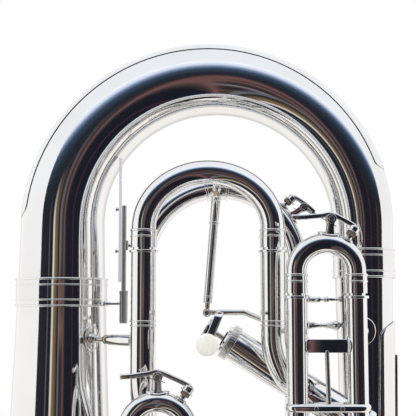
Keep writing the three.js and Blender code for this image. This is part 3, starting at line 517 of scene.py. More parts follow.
# ---- Materials ----
class Nodes:
    """A material's or a world's node tree, with short calls for the nodes that the finishes use."""

    def __init__(self, owner, space="Object"):
        owner.use_nodes = True
        self.tree = owner.node_tree
        self.tree.nodes.clear()
        self.place = self.add("ShaderNodeTexCoord").outputs[space]

    def add(self, kind, **values):
        node = self.tree.nodes.new(kind)
        for name, value in values.items():
            if hasattr(node, name):
                setattr(node, name, value)
            else:
                self.put(node.inputs[name.replace("_", " ")], value)
        return node

    def put(self, socket, value):
        if isinstance(value, bpy.types.NodeSocket):
            self.tree.links.new(value, socket)
        else:
            socket.default_value = value

    def show(self, shader, kind="Material"):
        output = self.add(f"ShaderNodeOutput{kind}")
        self.put(output.inputs["Surface"], shader.outputs[0])

    def math(self, operation, a, b=0.0, c=0.0):
        node = self.add("ShaderNodeMath", operation=operation)
        for socket, value in zip(node.inputs, (a, b, c)):
            self.put(socket, value)
        return node.outputs[0]

    def noise(self, place, scale, detail=3.0, rough=0.5):
        node = self.add("ShaderNodeTexNoise", Scale=scale, Detail=detail, Roughness=rough, Vector=place)
        return node.outputs["Fac"]

    def stretched(self, place, factors):
        node = self.add("ShaderNodeMapping")
        node.inputs["Scale"].default_value = factors
        self.put(node.inputs["Vector"], place)
        return node.outputs["Vector"]

    def ramp(self, value, stops, smooth=False):
        node = self.add("ShaderNodeValToRGB")
        ramp = node.color_ramp
        ramp.interpolation = "EASE" if smooth else "LINEAR"
        while len(ramp.elements) < len(stops):
            ramp.elements.new(0.5)
        for element, (position, colour) in zip(ramp.elements, stops):
            element.position = position
            element.color = (*colour, 1) if hasattr(colour, "__len__") else (colour, colour, colour, 1)
        self.put(node.inputs["Fac"], value)
        return node.outputs["Color"]

    def mix(self, share, a, b, blend="MIX"):
        node = self.add("ShaderNodeMix", data_type="RGBA", blend_type=blend)
        self.put(node.inputs[0], share)
        for socket, value in ((node.inputs[6], a), (node.inputs[7], b)):
            self.put(socket, (*value, 1) if isinstance(value, tuple) and len(value) == 3 else value)
        return node.outputs[2]

    def ranged(self, value, low, high):
        node = self.add("ShaderNodeMapRange")
        for socket, entry in zip(node.inputs, (value, 0.3, 0.7, low, high)):
            self.put(socket, entry)
        return node.outputs[0]


def metal(
    name, light, dark, rough, scratch=0.05, wave=0.02, metallic=1.0, grime=0.0,
    grime_colour=(0.1, 0.08, 0.06)
):
    """Plated metal: a broad tint, fine scratches in the roughness and the bump, and slight waviness."""
    material = bpy.data.materials.new(name)
    nodes = Nodes(material)
    broad = nodes.noise(nodes.place, 9.0, 3.0)
    cloud = nodes.noise(nodes.place, 46.0, 4.0, 0.6)
    lines = nodes.noise(nodes.stretched(nodes.place, (900, 900, 26)), 1.0, 5.0, 0.65)
    cross = nodes.noise(nodes.stretched(nodes.place, (60, 500, 700)), 1.0, 4.0, 0.6)
    tint = nodes.mix(nodes.ranged(broad, 0.0, 1.0), light, dark)
    if grime:
        spots = nodes.ramp(nodes.noise(nodes.place, 140.0, 5.0, 0.7), [(0.55, 0.0), (0.75, 1.0)])
        tint = nodes.mix(nodes.math("MULTIPLY", spots, grime), tint, grime_colour)
    low, high = rough
    uneven = nodes.math("ADD", nodes.math("MULTIPLY", cloud, 0.6), nodes.math("MULTIPLY", lines, 0.4))
    shader = nodes.add("ShaderNodeBsdfPrincipled", Base_Color=tint, Metallic=metallic)
    nodes.put(shader.inputs["Roughness"], nodes.ranged(uneven, low, high))
    marks = nodes.math("ADD", lines, nodes.math("MULTIPLY", cross, 0.6))
    fine = nodes.add("ShaderNodeBump", Strength=scratch, Distance=0.00006, Height=marks)
    soft = nodes.add(
        "ShaderNodeBump", Strength=wave, Distance=0.002, Height=nodes.noise(nodes.place, 32.0, 2.0)
    )
    nodes.put(soft.inputs["Normal"], fine.outputs["Normal"])
    nodes.put(shader.inputs["Normal"], soft.outputs["Normal"])
    nodes.show(shader)
    return material


def pearl():
    """Imitation mother-of-pearl: clouded cream with faint bands under a clear, glossy face."""
    material = bpy.data.materials.new("imitation_pearl")
    nodes = Nodes(material)
    drift = nodes.noise(nodes.stretched(nodes.place, (120, 120, 60)), 1.0, 4.0, 0.55)
    bands = nodes.add(
        "ShaderNodeTexWave", Scale=70.0, Distortion=9.0, Detail=3.0, Vector=nodes.place
    ).outputs["Fac"]
    cloud = nodes.math("ADD", nodes.math("MULTIPLY", drift, 0.86), nodes.math("MULTIPLY", bands, 0.14))
    colour = nodes.ramp(
        cloud, [(0.25, (0.76, 0.74, 0.68)), (0.5, (0.81, 0.79, 0.74)), (0.75, (0.86, 0.85, 0.81))]
    )
    shader = nodes.add("ShaderNodeBsdfPrincipled", Base_Color=colour)
    shader.inputs["Coat Weight"].default_value = 0.6
    shader.inputs["Coat Roughness"].default_value = 0.06
    nodes.put(shader.inputs["Roughness"], nodes.ranged(drift, 0.22, 0.34))
    bump = nodes.add("ShaderNodeBump", Strength=0.08, Distance=0.0002, Height=drift)
    nodes.put(shader.inputs["Normal"], bump.outputs["Normal"])
    nodes.show(shader)
    return material


def soft_stuff(name, light, dark, scale, bump_depth):
    """Cork or felt: a grain of two colours, rough, with a pitted surface."""
    material = bpy.data.materials.new(name)
    nodes = Nodes(material)
    grain = nodes.noise(nodes.place, scale, 6.0, 0.7)
    cells = nodes.add("ShaderNodeTexVoronoi", Scale=scale * 1.4, Vector=nodes.place).outputs["Distance"]
    height = nodes.math("ADD", grain, nodes.math("MULTIPLY", cells, 0.5))
    colour = nodes.mix(nodes.ranged(grain, 0.0, 1.0), light, dark)
    shader = nodes.add("ShaderNodeBsdfPrincipled", Base_Color=colour)
    nodes.put(shader.inputs["Roughness"], nodes.ranged(grain, 0.8, 0.95))
    bump = nodes.add("ShaderNodeBump", Strength=0.5, Distance=bump_depth, Height=height)
    nodes.put(shader.inputs["Normal"], bump.outputs["Normal"])
    nodes.show(shader)
    return material


SILVER = metal("silver_plate", (0.86, 0.865, 0.865), (0.80, 0.795, 0.775), (0.035, 0.075))
PALE_BAR = metal("pale_bar", (0.83, 0.82, 0.88), (0.74, 0.73, 0.80), (0.30, 0.44), 0.1, 0.01, metallic=0.3)
SATIN = metal("satin_steel", (0.56, 0.57, 0.58), (0.42, 0.425, 0.435), (0.24, 0.38), 0.25, 0.02)
NICKEL = metal("nickel_silver", (0.66, 0.64, 0.60), (0.56, 0.54, 0.50), (0.14, 0.26), 0.15, 0.01)
BRASS = metal("worn_brass", (0.68, 0.56, 0.38), (0.46, 0.37, 0.25), (0.14, 0.30), 0.12, 0.02, grime=0.5)
SPRING = metal("spring_wire", (0.62, 0.60, 0.57), (0.45, 0.42, 0.38), (0.2, 0.34), 0.2, 0.01)
PEARL = pearl()
CORK = soft_stuff("cork", (0.20, 0.15, 0.11), (0.09, 0.07, 0.055), 900.0, 0.0003)
FELT = soft_stuff("felt", (0.035, 0.035, 0.04), (0.015, 0.015, 0.018), 1500.0, 0.0004)


# ---- Making a piece ----
SHARP = radians(38)


def linked(name, data):
    """A new object in the scene."""
    made = bpy.data.objects.new(name, data)
    bpy.context.scene.collection.objects.link(made)
    return made


def plain_object(name, shapes, dissolve=False):
    """An object with one mesh from several closed shapes, with doubled points merged."""
    vertices, faces = [], []
    for points, polygons in shapes:
        base = len(vertices)
        vertices.extend(np.asarray(points) * MM)
        faces.extend([tuple(base + i for i in polygon) for polygon in polygons])
    mesh = bpy.data.meshes.new(name)
    mesh.from_pydata([tuple(v) for v in vertices], [], faces)
    work = bmesh.new()
    work.from_mesh(mesh)
    bmesh.ops.remove_doubles(work, verts=work.verts, dist=1e-7)
    if dissolve:
        bmesh.ops.dissolve_degenerate(work, edges=work.edges, dist=1e-8)
    bmesh.ops.recalc_face_normals(work, faces=work.faces)
    work.to_mesh(mesh)
    work.free()
    return linked(name, mesh)


def piece(name, shapes, material, body="tuba_body", replaced=None):
    """One object from several shapes, riding on a body, in place of a CAD node."""
    made = plain_object(name, shapes, True)
    mesh = made.data
    mesh.polygons.foreach_set("use_smooth", [True] * len(mesh.polygons))
    mesh.set_sharp_from_angle(angle=SHARP)
    mesh.materials.append(material)
    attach(made, body)
    if replaced:
        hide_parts(replaced)
    return made


def silver(node, shapes, body="tuba_body"):
    return piece(f"{node}_fine", shapes, SILVER, body, node)


# ---- Camera ----
CAMERA_PLACE = (0.100, -0.900, 0.644)
CAMERA_TILT = radians(96)
CAMERA_LENS = 77.88
camera_data = bpy.data.cameras.new("camera")
camera_data.lens = CAMERA_LENS
camera_data.sensor_width = 36
camera_data.clip_start = 0.01
camera = linked("camera", camera_data)
camera.location = CAMERA_PLACE
camera.rotation_euler = (CAMERA_TILT, 0, 0)
bpy.context.scene.camera = camera
bpy.context.scene.view_settings.view_transform = "Standard"


# ---- Body tubes ----
def bell_radius(z):
    return RIM_R * np.sqrt(FLARE_LENGTH / (z - RIM_HEIGHT + FLARE_LENGTH))


def bell_inner(z):
    slope = 0.5 * bell_radius(z) / (z - RIM_HEIGHT + FLARE_LENGTH)
    share = BELL_WALL / hypot(1, slope)
    return z - slope * share, bell_radius(z) - share


def bell():
    axis = upright(BELL_X, 0, 0, BELL_TOP)
    heights = RIM_HEIGHT + 0.8 + (FLARE_TOP - GAP - RIM_HEIGHT - 0.8) * np.linspace(0, 1, 46) ** 2
    outer = [(z, bell_radius(z)) for z in heights]
    inner = [bell_inner(z) for z in heights]
    inner[-1] = (FLARE_TOP - GAP, inner[-1][1])
    bead_z, bead_r, half_z, half_r = 2.2, RIM_R - 1.1, 2.2, 2.3
    rim = [
        (bead_z + half_z * sin(a), bead_r + half_r * cos(a))
        for a in np.radians(np.linspace(195, 490, 26) - 360)
    ]
    silver("bell_flare", [turned(axis, [*reversed(inner), *rim, *outer], 160)])
    stem = np.linspace(FLARE_TOP, BELL_TOP, 60)
    outer = [(z, bell_radius(z)) for z in stem]
    inner = [(z, bell_radius(z) - BELL_WALL) for z in stem]
    silver("bell_stem", [tube(axis, outer, inner, 128)])
    piece(
        "bell_seam_ring",
        [lathe(vec(BELL_X, 0, FLARE_TOP), Z_AXIS, ring(bell_radius(FLARE_TOP) - 0.25, 0.5, 3.4), 160, 0)],
        SILVER
    )


def ring(radius, height, width):
    """Outline of a half-round ring on a tube, centred on zero, with a flat inner side."""
    return [(-width / 2, radius), *bead(0, radius, height, width), (width / 2, radius)]


BOW = dict(left=BELL_X, right=BRANCH_X, y=0, spring=BOW_SPRING_Z, rise=(BRANCH_X - BELL_X) / 2)
BOW_ROUTE = bow(**BOW, foot_left=BELL_TOP + GAP, foot_right=BRANCH_TOP + GAP)


def bow_radius(s):
    return BOW_START_R + (BOW_END_R - BOW_START_R) * s / BOW_ROUTE.total


def branch_radius_at(z):
    return BOW_END_R + (BRANCH_END_R - BOW_END_R) * (BRANCH_TOP - z) / (BRANCH_TOP - BRANCH_END)


def bottom_bow():
    total = BOW_ROUTE.total
    outer = [(0, BOW_START_R), (total, BOW_END_R)]
    inner = [(0, BOW_START_R - BOW_WALL), (total, BOW_END_R - BOW_WALL)]
    bar_x = GUIDE_X - 4
    bar = straight(vec(bar_x, GUIDE_Y, 664), vec(bar_x, GUIDE_Y, 786), X_AXIS)
    silver("bottom_bow", [tube(BOW_ROUTE, outer, inner, 96)])
    piece("guide_bar", [swept(bar, rounded(2.4, 4.8, 0.5), 0.6)], PALE_BAR)
    pins = []
    for z in (735, 694):
        pins.append(rod(vec(bar_x - 3.4, GUIDE_Y, z), vec(bar_x - 1, GUIDE_Y, z), 1.5))
        pins += screw_head(vec(bar_x - 3, GUIDE_Y, z), -X_AXIS, 2.3, 1.3)
    piece("guide_bar_screws", pins, SILVER)


def tongued(start, end, width, reach=9):
    def width_at(s):
        inset = min(s - start, end - s, reach)
        return width * sqrt(max(0.03, 1 - (1 - inset / reach) ** 2))

    return width_at


def tongue_stops(start, end, count, reach=9):
    turn = reach * (1 - np.cos(np.linspace(0.1, pi / 2, 12)))
    turn = turn - turn[0]
    return [*(start + turn), *np.linspace(start + reach + 3, end - reach - 3, count), *(end - turn)[::-1]]


def bow_guard():
    start, end, width = 72, BOW_ROUTE.total - 84, 26
    stops = tongue_stops(start, end, 90)
    silver("bow_guard", [wrapped(BOW_ROUTE, stops, bow_radius, tongued(start, end, width), 0.2, 0.75, 24)])


def ferrule(route, radius, sides=96):
    """A sleeve over the joint of two tubes, with two rings at each end."""
    total = route.total
    inner = radius + GAP
    sleeve = inner + 0.8
    rings = []
    for at, height, width in ((1.1, 1.3, 2.2), (6.8, 0.8, 1.7)):
        rings += bead(at, sleeve, height, width)
    rings += mirrored(rings, total)
    return turned(route, [(0, inner), (0, sleeve), *rings, (total, sleeve), (total, inner)], sides)


def branch():
    route = upright(BRANCH_X, 0, BRANCH_TOP, BRANCH_END, 40)
    total = route.total
    outer = [(0, BOW_END_R), (total, BRANCH_END_R)]
    inner = [(0, BOW_END_R - BOW_WALL), (total, BRANCH_END_R - BOW_WALL)]
    shapes = [tube(route, outer, inner, 80)]
    near, far = MAIN.right + THIRD_START_R + 0.4, BRANCH_X - 20

    def brace_line(z, outline, soft=0.5):
        return lathe(vec(near, 0, z), X_AXIS, [(0, 0), *outline, (far - near, 0)], 32, soft)

    edge = BRANCH_X - branch_radius_at(621) - near
    waist = 0.42 * edge
    hourglass = [(edge * t, 2.0 + 3.0 * abs(2 * t - 0.85) ** 1.6) for t in np.linspace(0, 1, 21)]
    shapes.append(brace_line(621.4, hourglass, 0))
    shapes.append(lathe(vec(near + waist, 0, 621.4), X_AXIS, ring(1.6, 0.9, 2.2), 28, 0))
    stepped = [(0, 3.2), (12, 3.2), (12, 1.6), (15.2, 1.6), (15.2, 3), (20, 3), (20, 1.6), (far - near, 1.6)]
    shapes.append(brace_line(647, stepped, 0.7))
    near_low = MAIN.right + 13.6
    low = [(0, 8), (2, 8), (3.6, 3), (far - near_low - 6, 3), (far - near_low - 4, 8), (far - near_low, 8)]
    shapes.append(lathe(vec(near_low, 0, 450), X_AXIS, [(0, 0), *low, (far - near_low, 0)], 32, 0.8))
    silver("second_branch", shapes)
    screws = []
    for x in (near + 4.4, near + edge - 3.4):
        screws += screw_head(vec(x, -3.2, 623.4), vec(0, -1, 0.7), 1.2, 0.9)
    piece("branch_brace_screws", screws, SATIN)


def branch_guard():
    start, end, width = BRANCH_TOP - 626, BRANCH_TOP - 345, 33
    route = upright(BRANCH_X, 0, BRANCH_TOP, BRANCH_END, 60)
    stops = tongue_stops(start, end, 60, 16)
    width_at = tongued(start, end, width, 16)
    radius = lambda s: branch_radius_at(BRANCH_TOP - s)
    sheet = wrapped(route, stops, radius, width_at, 0.6, 2.0, 30)
    heights = np.linspace(594, 350, 14)
    line = [vec(BRANCH_X + branch_radius_at(z) + 3.3, 0, z) for z in heights]
    rib = Route(line, np.gradient(np.array(line), axis=0))
    rib_end = swept(rib, rounded(4.4, 4.4, 2.1), 2.2)
    silver("branch_guard", [sheet, rib_end])


def third_branch():
    route = upright(MAIN.right, 0, MAIN.mouth, BRANCH_END, 40)
    bore = MAIN.r - 0.65
    low = MAIN.mouth - 540
    wide = MAIN.mouth - 522
    outer = [
        (0, MAIN.r + 0.6),
        *softened([(0, 11.2), (0, MAIN.r + 2.4), (3, MAIN.r + 2.4), (3, THIRD_START_R)], 0.8)[1:-1],
        (3.2, THIRD_START_R), (low, THIRD_START_R), *bead(low + 1, THIRD_START_R + 0.9, 0.7, 2),
        (low + 2.2, THIRD_START_R + 0.9), (wide - 2.2, THIRD_START_R + 0.9),
        *bead(wide - 1, THIRD_START_R + 0.9, 0.7, 2), (wide, THIRD_START_R + 0.3), (route.total, THIRD_END_R)
    ]
    inner = [(0, bore), (wide, bore), (route.total, THIRD_END_R - 1.1)]
    silver("third_branch", [tube(route, outer, inner, 56)])


def top_bow():
    half = (BRANCH_X - MAIN.right) / 2
    low = BRANCH_END - GAP - half - 6
    route = bent(
        [
            (MAIN.right, 0, BRANCH_END + 8), (MAIN.right, 0, low), (BRANCH_X, 0, low),
            (BRANCH_X, 0, BRANCH_END + 8)
        ],
        [half - 0.01, half - 0.01]
    )

    def sleeve(radius):
        inner = radius + 0.4 + GAP
        outer = inner + 0.8
        outside = [(0, outer), *bead(1.1, outer, 1.2, 2.2), *bead(12.6, outer, 1.2, 2.2), (14, radius)]
        inside = [(0, inner), (8 + GAP, inner), (8 + GAP, radius - BOW_WALL)]
        return outside, inside

    out_a, in_a = sleeve(THIRD_END_R)
    out_b, in_b = sleeve(BRANCH_END_R)
    silver(
        "top_bow",
        [tube(route, out_a + mirrored(out_b, route.total), in_a + mirrored(in_b, route.total), 72)]
    )


# ---- Slides ----
def slide_outline(r, leg, wall):
    """One half of a slide bow: its thin leg, a sleeve with two rings, then the tube; and its bore."""
    outer = [
        (0, r - 1), (leg - 0.2, r - 1), (leg, r + 0.8), (leg + 9.4, r + 0.7),
        *bead(leg + 10.4, r + 0.7, 0.65, 1.7), (leg + 11.6, r + 0.7), (leg + 14.6, r + 0.7),
        *bead(leg + 15.9, r + 0.6, 0.9, 2.1), (leg + 17, r)
    ]
    inner = [(0, r - 2), (leg + 15, r - 2), (leg + 17, r - wall)]
    return outer, inner


def slide_bow(slide, sides=48):
    route = bow(slide.left, slide.right, slide.y, slide.spring, slide.rise, slide.foot, slide.foot_right)
    out_l, in_l = slide_outline(slide.r, slide.mouth + 2 - slide.foot, 1)
    out_r, in_r = slide_outline(slide.r, slide.mouth + 2 - slide.foot_right, 1)
    shape = tube(route, out_l + mirrored(out_r, route.total), in_l + mirrored(in_r, route.total), sides)
    return route, shape


def outer_tube(route, r, rings=(), sides=48):
    """The outer tube of a slide leg, with a rounded collar at its mouth."""
    total = route.total
    collar = softened([(0, r + 0.2), (0, r + 2), (2.5, r + 2), (2.5, r + 0.2)], 0.7)[1:-1]
    outer = [(0, r + 0.2), *collar]
    for at in rings:
        outer += bead(at, r + 0.2, 0.8, 1.7)
    return tube(route, [*outer, (total, r + 0.2)], [(0, r - 0.65), (total, r - 0.65)], sides)


def key_on(slide, pivot_degrees, seat_degrees, tip, lift=12.5):
    """Where a water key sits: angles round the bow's middle, 90 degrees at its top."""
    middle, half = (slide.left + slide.right) / 2, (slide.right - slide.left) / 2

    def at(degrees, off):
        angle = radians(degrees)
        out = unit((slide.rise * cos(angle), 0, half * sin(angle)))
        line = vec(middle + half * cos(angle), slide.y, slide.spring + slide.rise * sin(angle))
        return out, line + out * (slide.r + off)

    up, foot = at(pivot_degrees, 0)
    out, seat = at(seat_degrees, 0)
    return Sizes(
        r=slide.r, up=up, foot=foot, pivot=at(pivot_degrees, lift)[1], out=out, seat=seat,
        tip=vec(tip[0], slide.y, tip[1])
    )


MAIN_KEY = key_on(MAIN, 34, 42.5, (207.5, 731.5), 14)
THIRD_KEY = key_on(THIRD, 84, 56, (173.5, 718.5))
FIRST_KEY = key_on(FIRST, 90, 54, (24, 580))


def water_key_post(key):
    """Two ears on an oval foot, the hinge screw through them, and the nipple that the cork closes."""
    up, foot, pivot, out, seat, r = key.up, key.foot, key.pivot, key.out, key.seat, key.r
    along = np.cross(up, Y_AXIS)
    shapes = [flange(foot - up * r, along, up, r, 21, 15.5, 1.0)]
    for side in (-1, 1):
        middle = pivot + Y_AXIS * side * 5.7
        base = foot - up * 1.2 + Y_AXIS * side * 5.0
        ear = Route([base, middle], [middle - base, middle - base], along)
        shapes.append(swept(ear, rounded(6.4, 1.9, 0.6), 0.4, lambda t: 1.15 - 0.25 * sin(pi * t)))
        shapes.append(disc(middle - Y_AXIS * side * 1.0, Y_AXIS * side, 4.3, 2, 36, 0.5))
    shapes.append(rod(pivot - Y_AXIS * 7.0, pivot + Y_AXIS * 7.0, 1.5))
    drain = [(-0.8, 0), (-0.8, 3.3), (0.6, 3.3), (1.2, 2.8), (3.2, 2.8), (3.2, 1.4), (0, 1.4), (0, 0)]
    shapes.append(flange(seat - out * r, np.cross(out, Y_AXIS), out, r, 10.5, 10.5, 0.7))
    shapes.append(lathe(seat, out, drain, 32, 0.3))
    return shapes


def water_key_screws(name, key, body):
    head = screw_head(key.pivot - Y_AXIS * 6.6, -Y_AXIS, 2.5, 1.2, unit(key.up + X_AXIS * 0.8))
    tail = disc(key.pivot + Y_AXIS * 6.6, Y_AXIS, 1.9, 1, 24, 0.3)
    piece(f"{name}_hinge_screw", [*head, tail], SATIN, body)


def water_key(name, key):
    """A rocking lever over its hinge, with a cup and its cork at one end and a finger tip at the other."""
    up, pivot, out, seat, tip = key.up, key.pivot, key.out, key.seat, key.tip
    barrel = lathe(
        pivot - Y_AXIS * 4.4, Y_AXIS,
        [(0, 1.9), (0, 3.6), (1.6, 3.6), (2.0, 3.1), (6.8, 3.1), (7.2, 3.6), (8.8, 3.6), (8.8, 1.9)], 32, 0.3
    )
    away = unit(tip - pivot)
    crown = seat + out * 13.2
    line = curve_through(
        [
            tip, tip + (pivot - tip) * 0.3 + up * 0.6, pivot + away * 9 + up * 2.6, pivot + up * 4.1,
            pivot + (crown - pivot) * 0.5 + (up + out) * 1.3, crown
        ],
        Y_AXIS, 10
    )
    lever = swept(line, rounded(5.6, 4.4, 1.5), 1.4, lambda t: 0.8 + 0.25 * exp(-(((t - 0.62) / 0.2) ** 2)))
    reach = unit(tip - line.at(line.total * 0.1)[0])
    nib = lathe(tip - reach * 15, reach, [(0, 0), (0, 2.1), (4, 2.4), (15.4, 2.4), (15.4, 0)], 28, 1.9)
    web = swept(straight(pivot, pivot + up * 4.0, Y_AXIS), rounded(5.0, 4.4, 0.8), 0.3)
    cup = lathe(
        seat, out,
        [(7.2, 0), (7.2, 6.2), (8.3, 6.2), (8.3, 4.5), (12.8, 4.5), (13.2, 3.2), (14.2, 3.0), (14.6, 0)], 40,
        0.4
    )
    silver(name, [barrel, lever, nib, web, cup], name)
    cork = lathe(seat, out, [(3.5, 0), (3.5, 3.7), (4.2, 4.2), (7.4, 4.2), (7.4, 0)], 36, 0.4)
    piece(f"{name}_cork", [cork], CORK, name)
    coil = helix(pivot - Y_AXIS * 4.2, Y_AXIS, 3.9, 8.4, 6.5, 0.42, 24, 8)
    legs = [
        rod(
            pivot - Y_AXIS * 4.0 - up * 3.9, pivot - Y_AXIS * 4.0 - up * 3.9 + away * 9 + up * 4.5, 0.42, 8,
            0.1
        ),
        rod(pivot + Y_AXIS * 4.0 - up * 3.9, pivot + Y_AXIS * 4.0 - up * 5.5 - away * 6, 0.42, 8, 0.1)
    ]
    piece(f"{name}_spring", [coil, *legs], SPRING, name)


def main_slide():
    route, shape = slide_bow(MAIN, 56)
    r = MAIN.r
    apex = route.total / 2
    saddle = turned(
        route,
        softened(
            [
                (apex - 15, r - 0.4), (apex - 15, r + 1.9), (apex - 12.6, r + 1.9), (apex - 12.6, r + 1.1),
                (apex + 6.6, r + 1.1), (apex + 6.6, r + 1.9), (apex + 9, r + 1.9), (apex + 9, r - 0.4)
            ],
            0.7
        ),
        56
    )
    arm_z = 700
    guide = lathe(
        vec(GUIDE_X, GUIDE_Y, GUIDE_BOTTOM), Z_AXIS,
        [(0, 0), (0, 1.4), (3, 2.2), (GUIDE_TOP - GUIDE_BOTTOM, 2.2), (GUIDE_TOP - GUIDE_BOTTOM, 0)], 28, 0.6
    )
    stud_foot = vec(BALL[0], -r - 0.4, BALL[2])
    shapes = [
        shape, saddle,
        brick(vec(GUIDE_X - 2.2, GUIDE_Y + 1.2, arm_z - 5), vec(GUIDE_X + 4, GUIDE_Y + 5.2, arm_z + 5), 0.9),
        rod(vec(GUIDE_X, GUIDE_Y + 3.2, arm_z), vec(35, -8.5, arm_z), 2),
        flange(vec(MAIN.left, 0, arm_z), Z_AXIS, vec(-0.55, -1, 0), r, 15, 12, 0.9),
        lathe(stud_foot, -Y_AXIS, [(-1, 0), (-1, 4.6), (1.1, 4.6), (1.9, 2.2), (4, 2.2), (4, 0)], 32, 0.4),
        *water_key_post(MAIN_KEY)
    ]
    silver("main_slide", shapes, "main_slide")
    piece("main_slide_guide_rod", [guide], SATIN, "main_slide")
    piece("main_slide_ball", [sphere(BALL, BALL_R, 40, 20)], SILVER, "main_slide")
    water_key_screws("main_water_key", MAIN_KEY, "main_slide")


def fourth_slide():
    silver("fourth_slide", [slide_bow(FOURTH, 56)[1]], "fourth_slide")
    z = 360
    left = bent(
        [
            (FOURTH.left, FOURTH.y, FOURTH.mouth), (FOURTH.left, FOURTH.y, 565), (FOURTH.left, -36, 530),
            (FOURTH.left, -36, z), (VALVE_X[2], -36, z), (VALVE_X[2], VALVE_Y + 13, z)
        ],
        [40, 40, 26, 13]
    )
    collar_rings = (FOURTH.mouth - 627.3, FOURTH.mouth - 623.4)
    foot = flange(
        vec(FOURTH.left, FOURTH.y, 609), Z_AXIS, vec(-0.755, 0.655, 0), FOURTH.r + 0.2, 24, 17, 1.0
    )
    left = shortened(left, INTO_CASING - 13)
    silver("fourth_tube_left", [coped(outer_tube(left, FOURTH.r, collar_rings, 56), "third"), foot])
    target = FOURTH_START + 82 * FOURTH_AXIS
    entry = bent(
        [
            (FOURTH.right, FOURTH.y, FOURTH.mouth), (FOURTH.right, FOURTH.y, 600),
            (FOURTH.right + 12, FOURTH.y, 575), target
        ],
        [60, 20]
    )
    entry = outer_tube(shortened(entry, INTO_CASING), FOURTH.r, collar_rings, 56)
    silver("fourth_tube_right", [coped(entry, "fourth")])


def shortened(route, by):
    """The route without its last stretch, so that a tube stops at the wall that it is soldered to."""
    end = route.total - by
    point, along, _, _ = route.at(end)
    kept = route.lengths < end - 1e-3
    return Route([*route.points[kept], point], [*route.along[kept], along], route.across[0])


def elbow(slide, x, name, t, radius):
    """The outer tube of a slide leg that comes down and turns back into a valve, t along its casing."""
    start, axis = VALVES[name]
    target = start + axis * t
    route = bent([(x, slide.y, slide.mouth), (x, slide.y, target[2]), target], [radius], X_AXIS)
    return coped(outer_tube(shortened(route, INTO_CASING), slide.r), name)


def tie(slide, low, high, z, left_foot, right_foot):
    """A bar between the two outer tubes of a slide, with a foot on each."""
    y, r = slide.y, slide.r + 0.2
    return [
        brick(vec(slide.left + 8.6, y - 3, low), vec(slide.right - 8.6, y, high), 0.5),
        flange(vec(slide.left, y, z), Z_AXIS, X_AXIS, r, *left_foot),
        flange(vec(slide.right, y, z), Z_AXIS, -X_AXIS, r, *right_foot)
    ]


def third_slide():
    silver("third_slide", [slide_bow(THIRD)[1], *water_key_post(THIRD_KEY)], "third_slide")
    water_key_screws("third_water_key", THIRD_KEY, "third_slide")
    y = THIRD.y
    middle = (THIRD.left + THIRD.right) / 2
    span = THIRD.right - THIRD.left
    plate_tie = plate(
        stadium(span, 11), edge_profile(7.6, 3.6, 7), lambda u, v, h: vec(middle + u, y + v, 550.8 + h)
    )
    tie_screws = [
        shape for x in (THIRD.left + 15, THIRD.right - 15)
        for shape in screw_head(vec(x, y - 10.6, 554.6), -Y_AXIS, 1.9, 1.2)
    ]
    shapes = [
        elbow(THIRD, THIRD.left, "third", 132, 20), elbow(THIRD, THIRD.right, "third", 20, 26), plate_tie,
        *tie(THIRD, 601, 612.6, 607, (16, 15, 1.0), (18, 17, 1.0)),
        rod(vec(203.5, y - 3.6, 550), vec(202.4, y - 1.5, 603), 2.1)
    ]
    silver("third_tubes", shapes)
    piece("third_tubes_screws", tie_screws, SATIN)


def first_slide():
    silver("first_slide", [slide_bow(FIRST)[1], *water_key_post(FIRST_KEY)], "first_slide")
    water_key_screws("first_water_key", FIRST_KEY, "first_slide")
    shapes = [
        elbow(FIRST, FIRST.left, "first", 112, 16), elbow(FIRST, FIRST.right, "first", 72, 16),
        *tie(FIRST, 486, 494, 490, (14, 12, 0.9), (14, 12, 0.9))
    ]
    silver("first_tubes", shapes)


def second_slide():
    x, r = SECOND.x, SECOND.r
    half = (SECOND.high - SECOND.low) / 2
    far = SECOND.spring + half + 0.1
    route = bent(
        [
            (x, SECOND.leg, SECOND.low), (x, far, SECOND.low), (x, far, SECOND.high),
            (x, SECOND.leg, SECOND.high)
        ],
        [half - 0.01, half - 0.01], X_AXIS
    )
    leg = SECOND.mouth - SECOND.leg + 0.5
    side = [
        (0, r - 1), (leg, r - 1), (leg, r + 0.5), *bead(leg + 1.1, r + 0.5, 0.6, 1.8), (leg + 5.6, r + 0.5)
    ]
    side += [*bead(leg + 7, r + 0.4, 0.6, 1.8), (leg + 8, r)]
    shape = tube(route, side + mirrored(side, route.total), [(0, r - 2), (route.total, r - 2)], 44)
    knob = lathe(
        vec(x, far + r - 0.4, (SECOND.low + SECOND.high) / 2), Y_AXIS,
        [(0, 0), (0, 3.6), (1, 3.6), (1.6, 1.5), (2.6, 1.5), (3.6, 2.6), (4.6, 2.6), (4.6, 0)], 28, 0.6
    )
    silver("second_slide", [shape, knob], "second_slide")
    shapes = []
    for z in (SECOND.low, SECOND.high):
        line = straight(vec(x, SECOND.mouth, z), vec(x, VALVE_Y + INTO_CASING, z), X_AXIS)
        shapes.append(coped(outer_tube(line, r), "second"))
    shapes.append(brick(vec(x - 3, -50, SECOND.low + 7.6), vec(x + 3, -47, SECOND.high - 7.6), 0.8))
    silver("second_tubes", shapes)


# ---- Valves ----
FOURTH_AXIS = vec(cos(FOURTH_ANGLE), 0, -sin(FOURTH_ANGLE))
VALVES = {
    name: (vec(x, VALVE_Y, VALVE_Z), Z_AXIS) for name, x in zip(("first", "second", "third"), VALVE_X)
}
VALVES["fourth"] = FOURTH_START, FOURTH_AXIS


def knurl(low, high, count=90, depth=0.07):
    """Fine straight ribs round a cap's edge."""

    def relief(s, angle):
        inside = (s > low) & (s < high)
        return depth * inside * np.sign(np.sin(angle * count))

    return relief


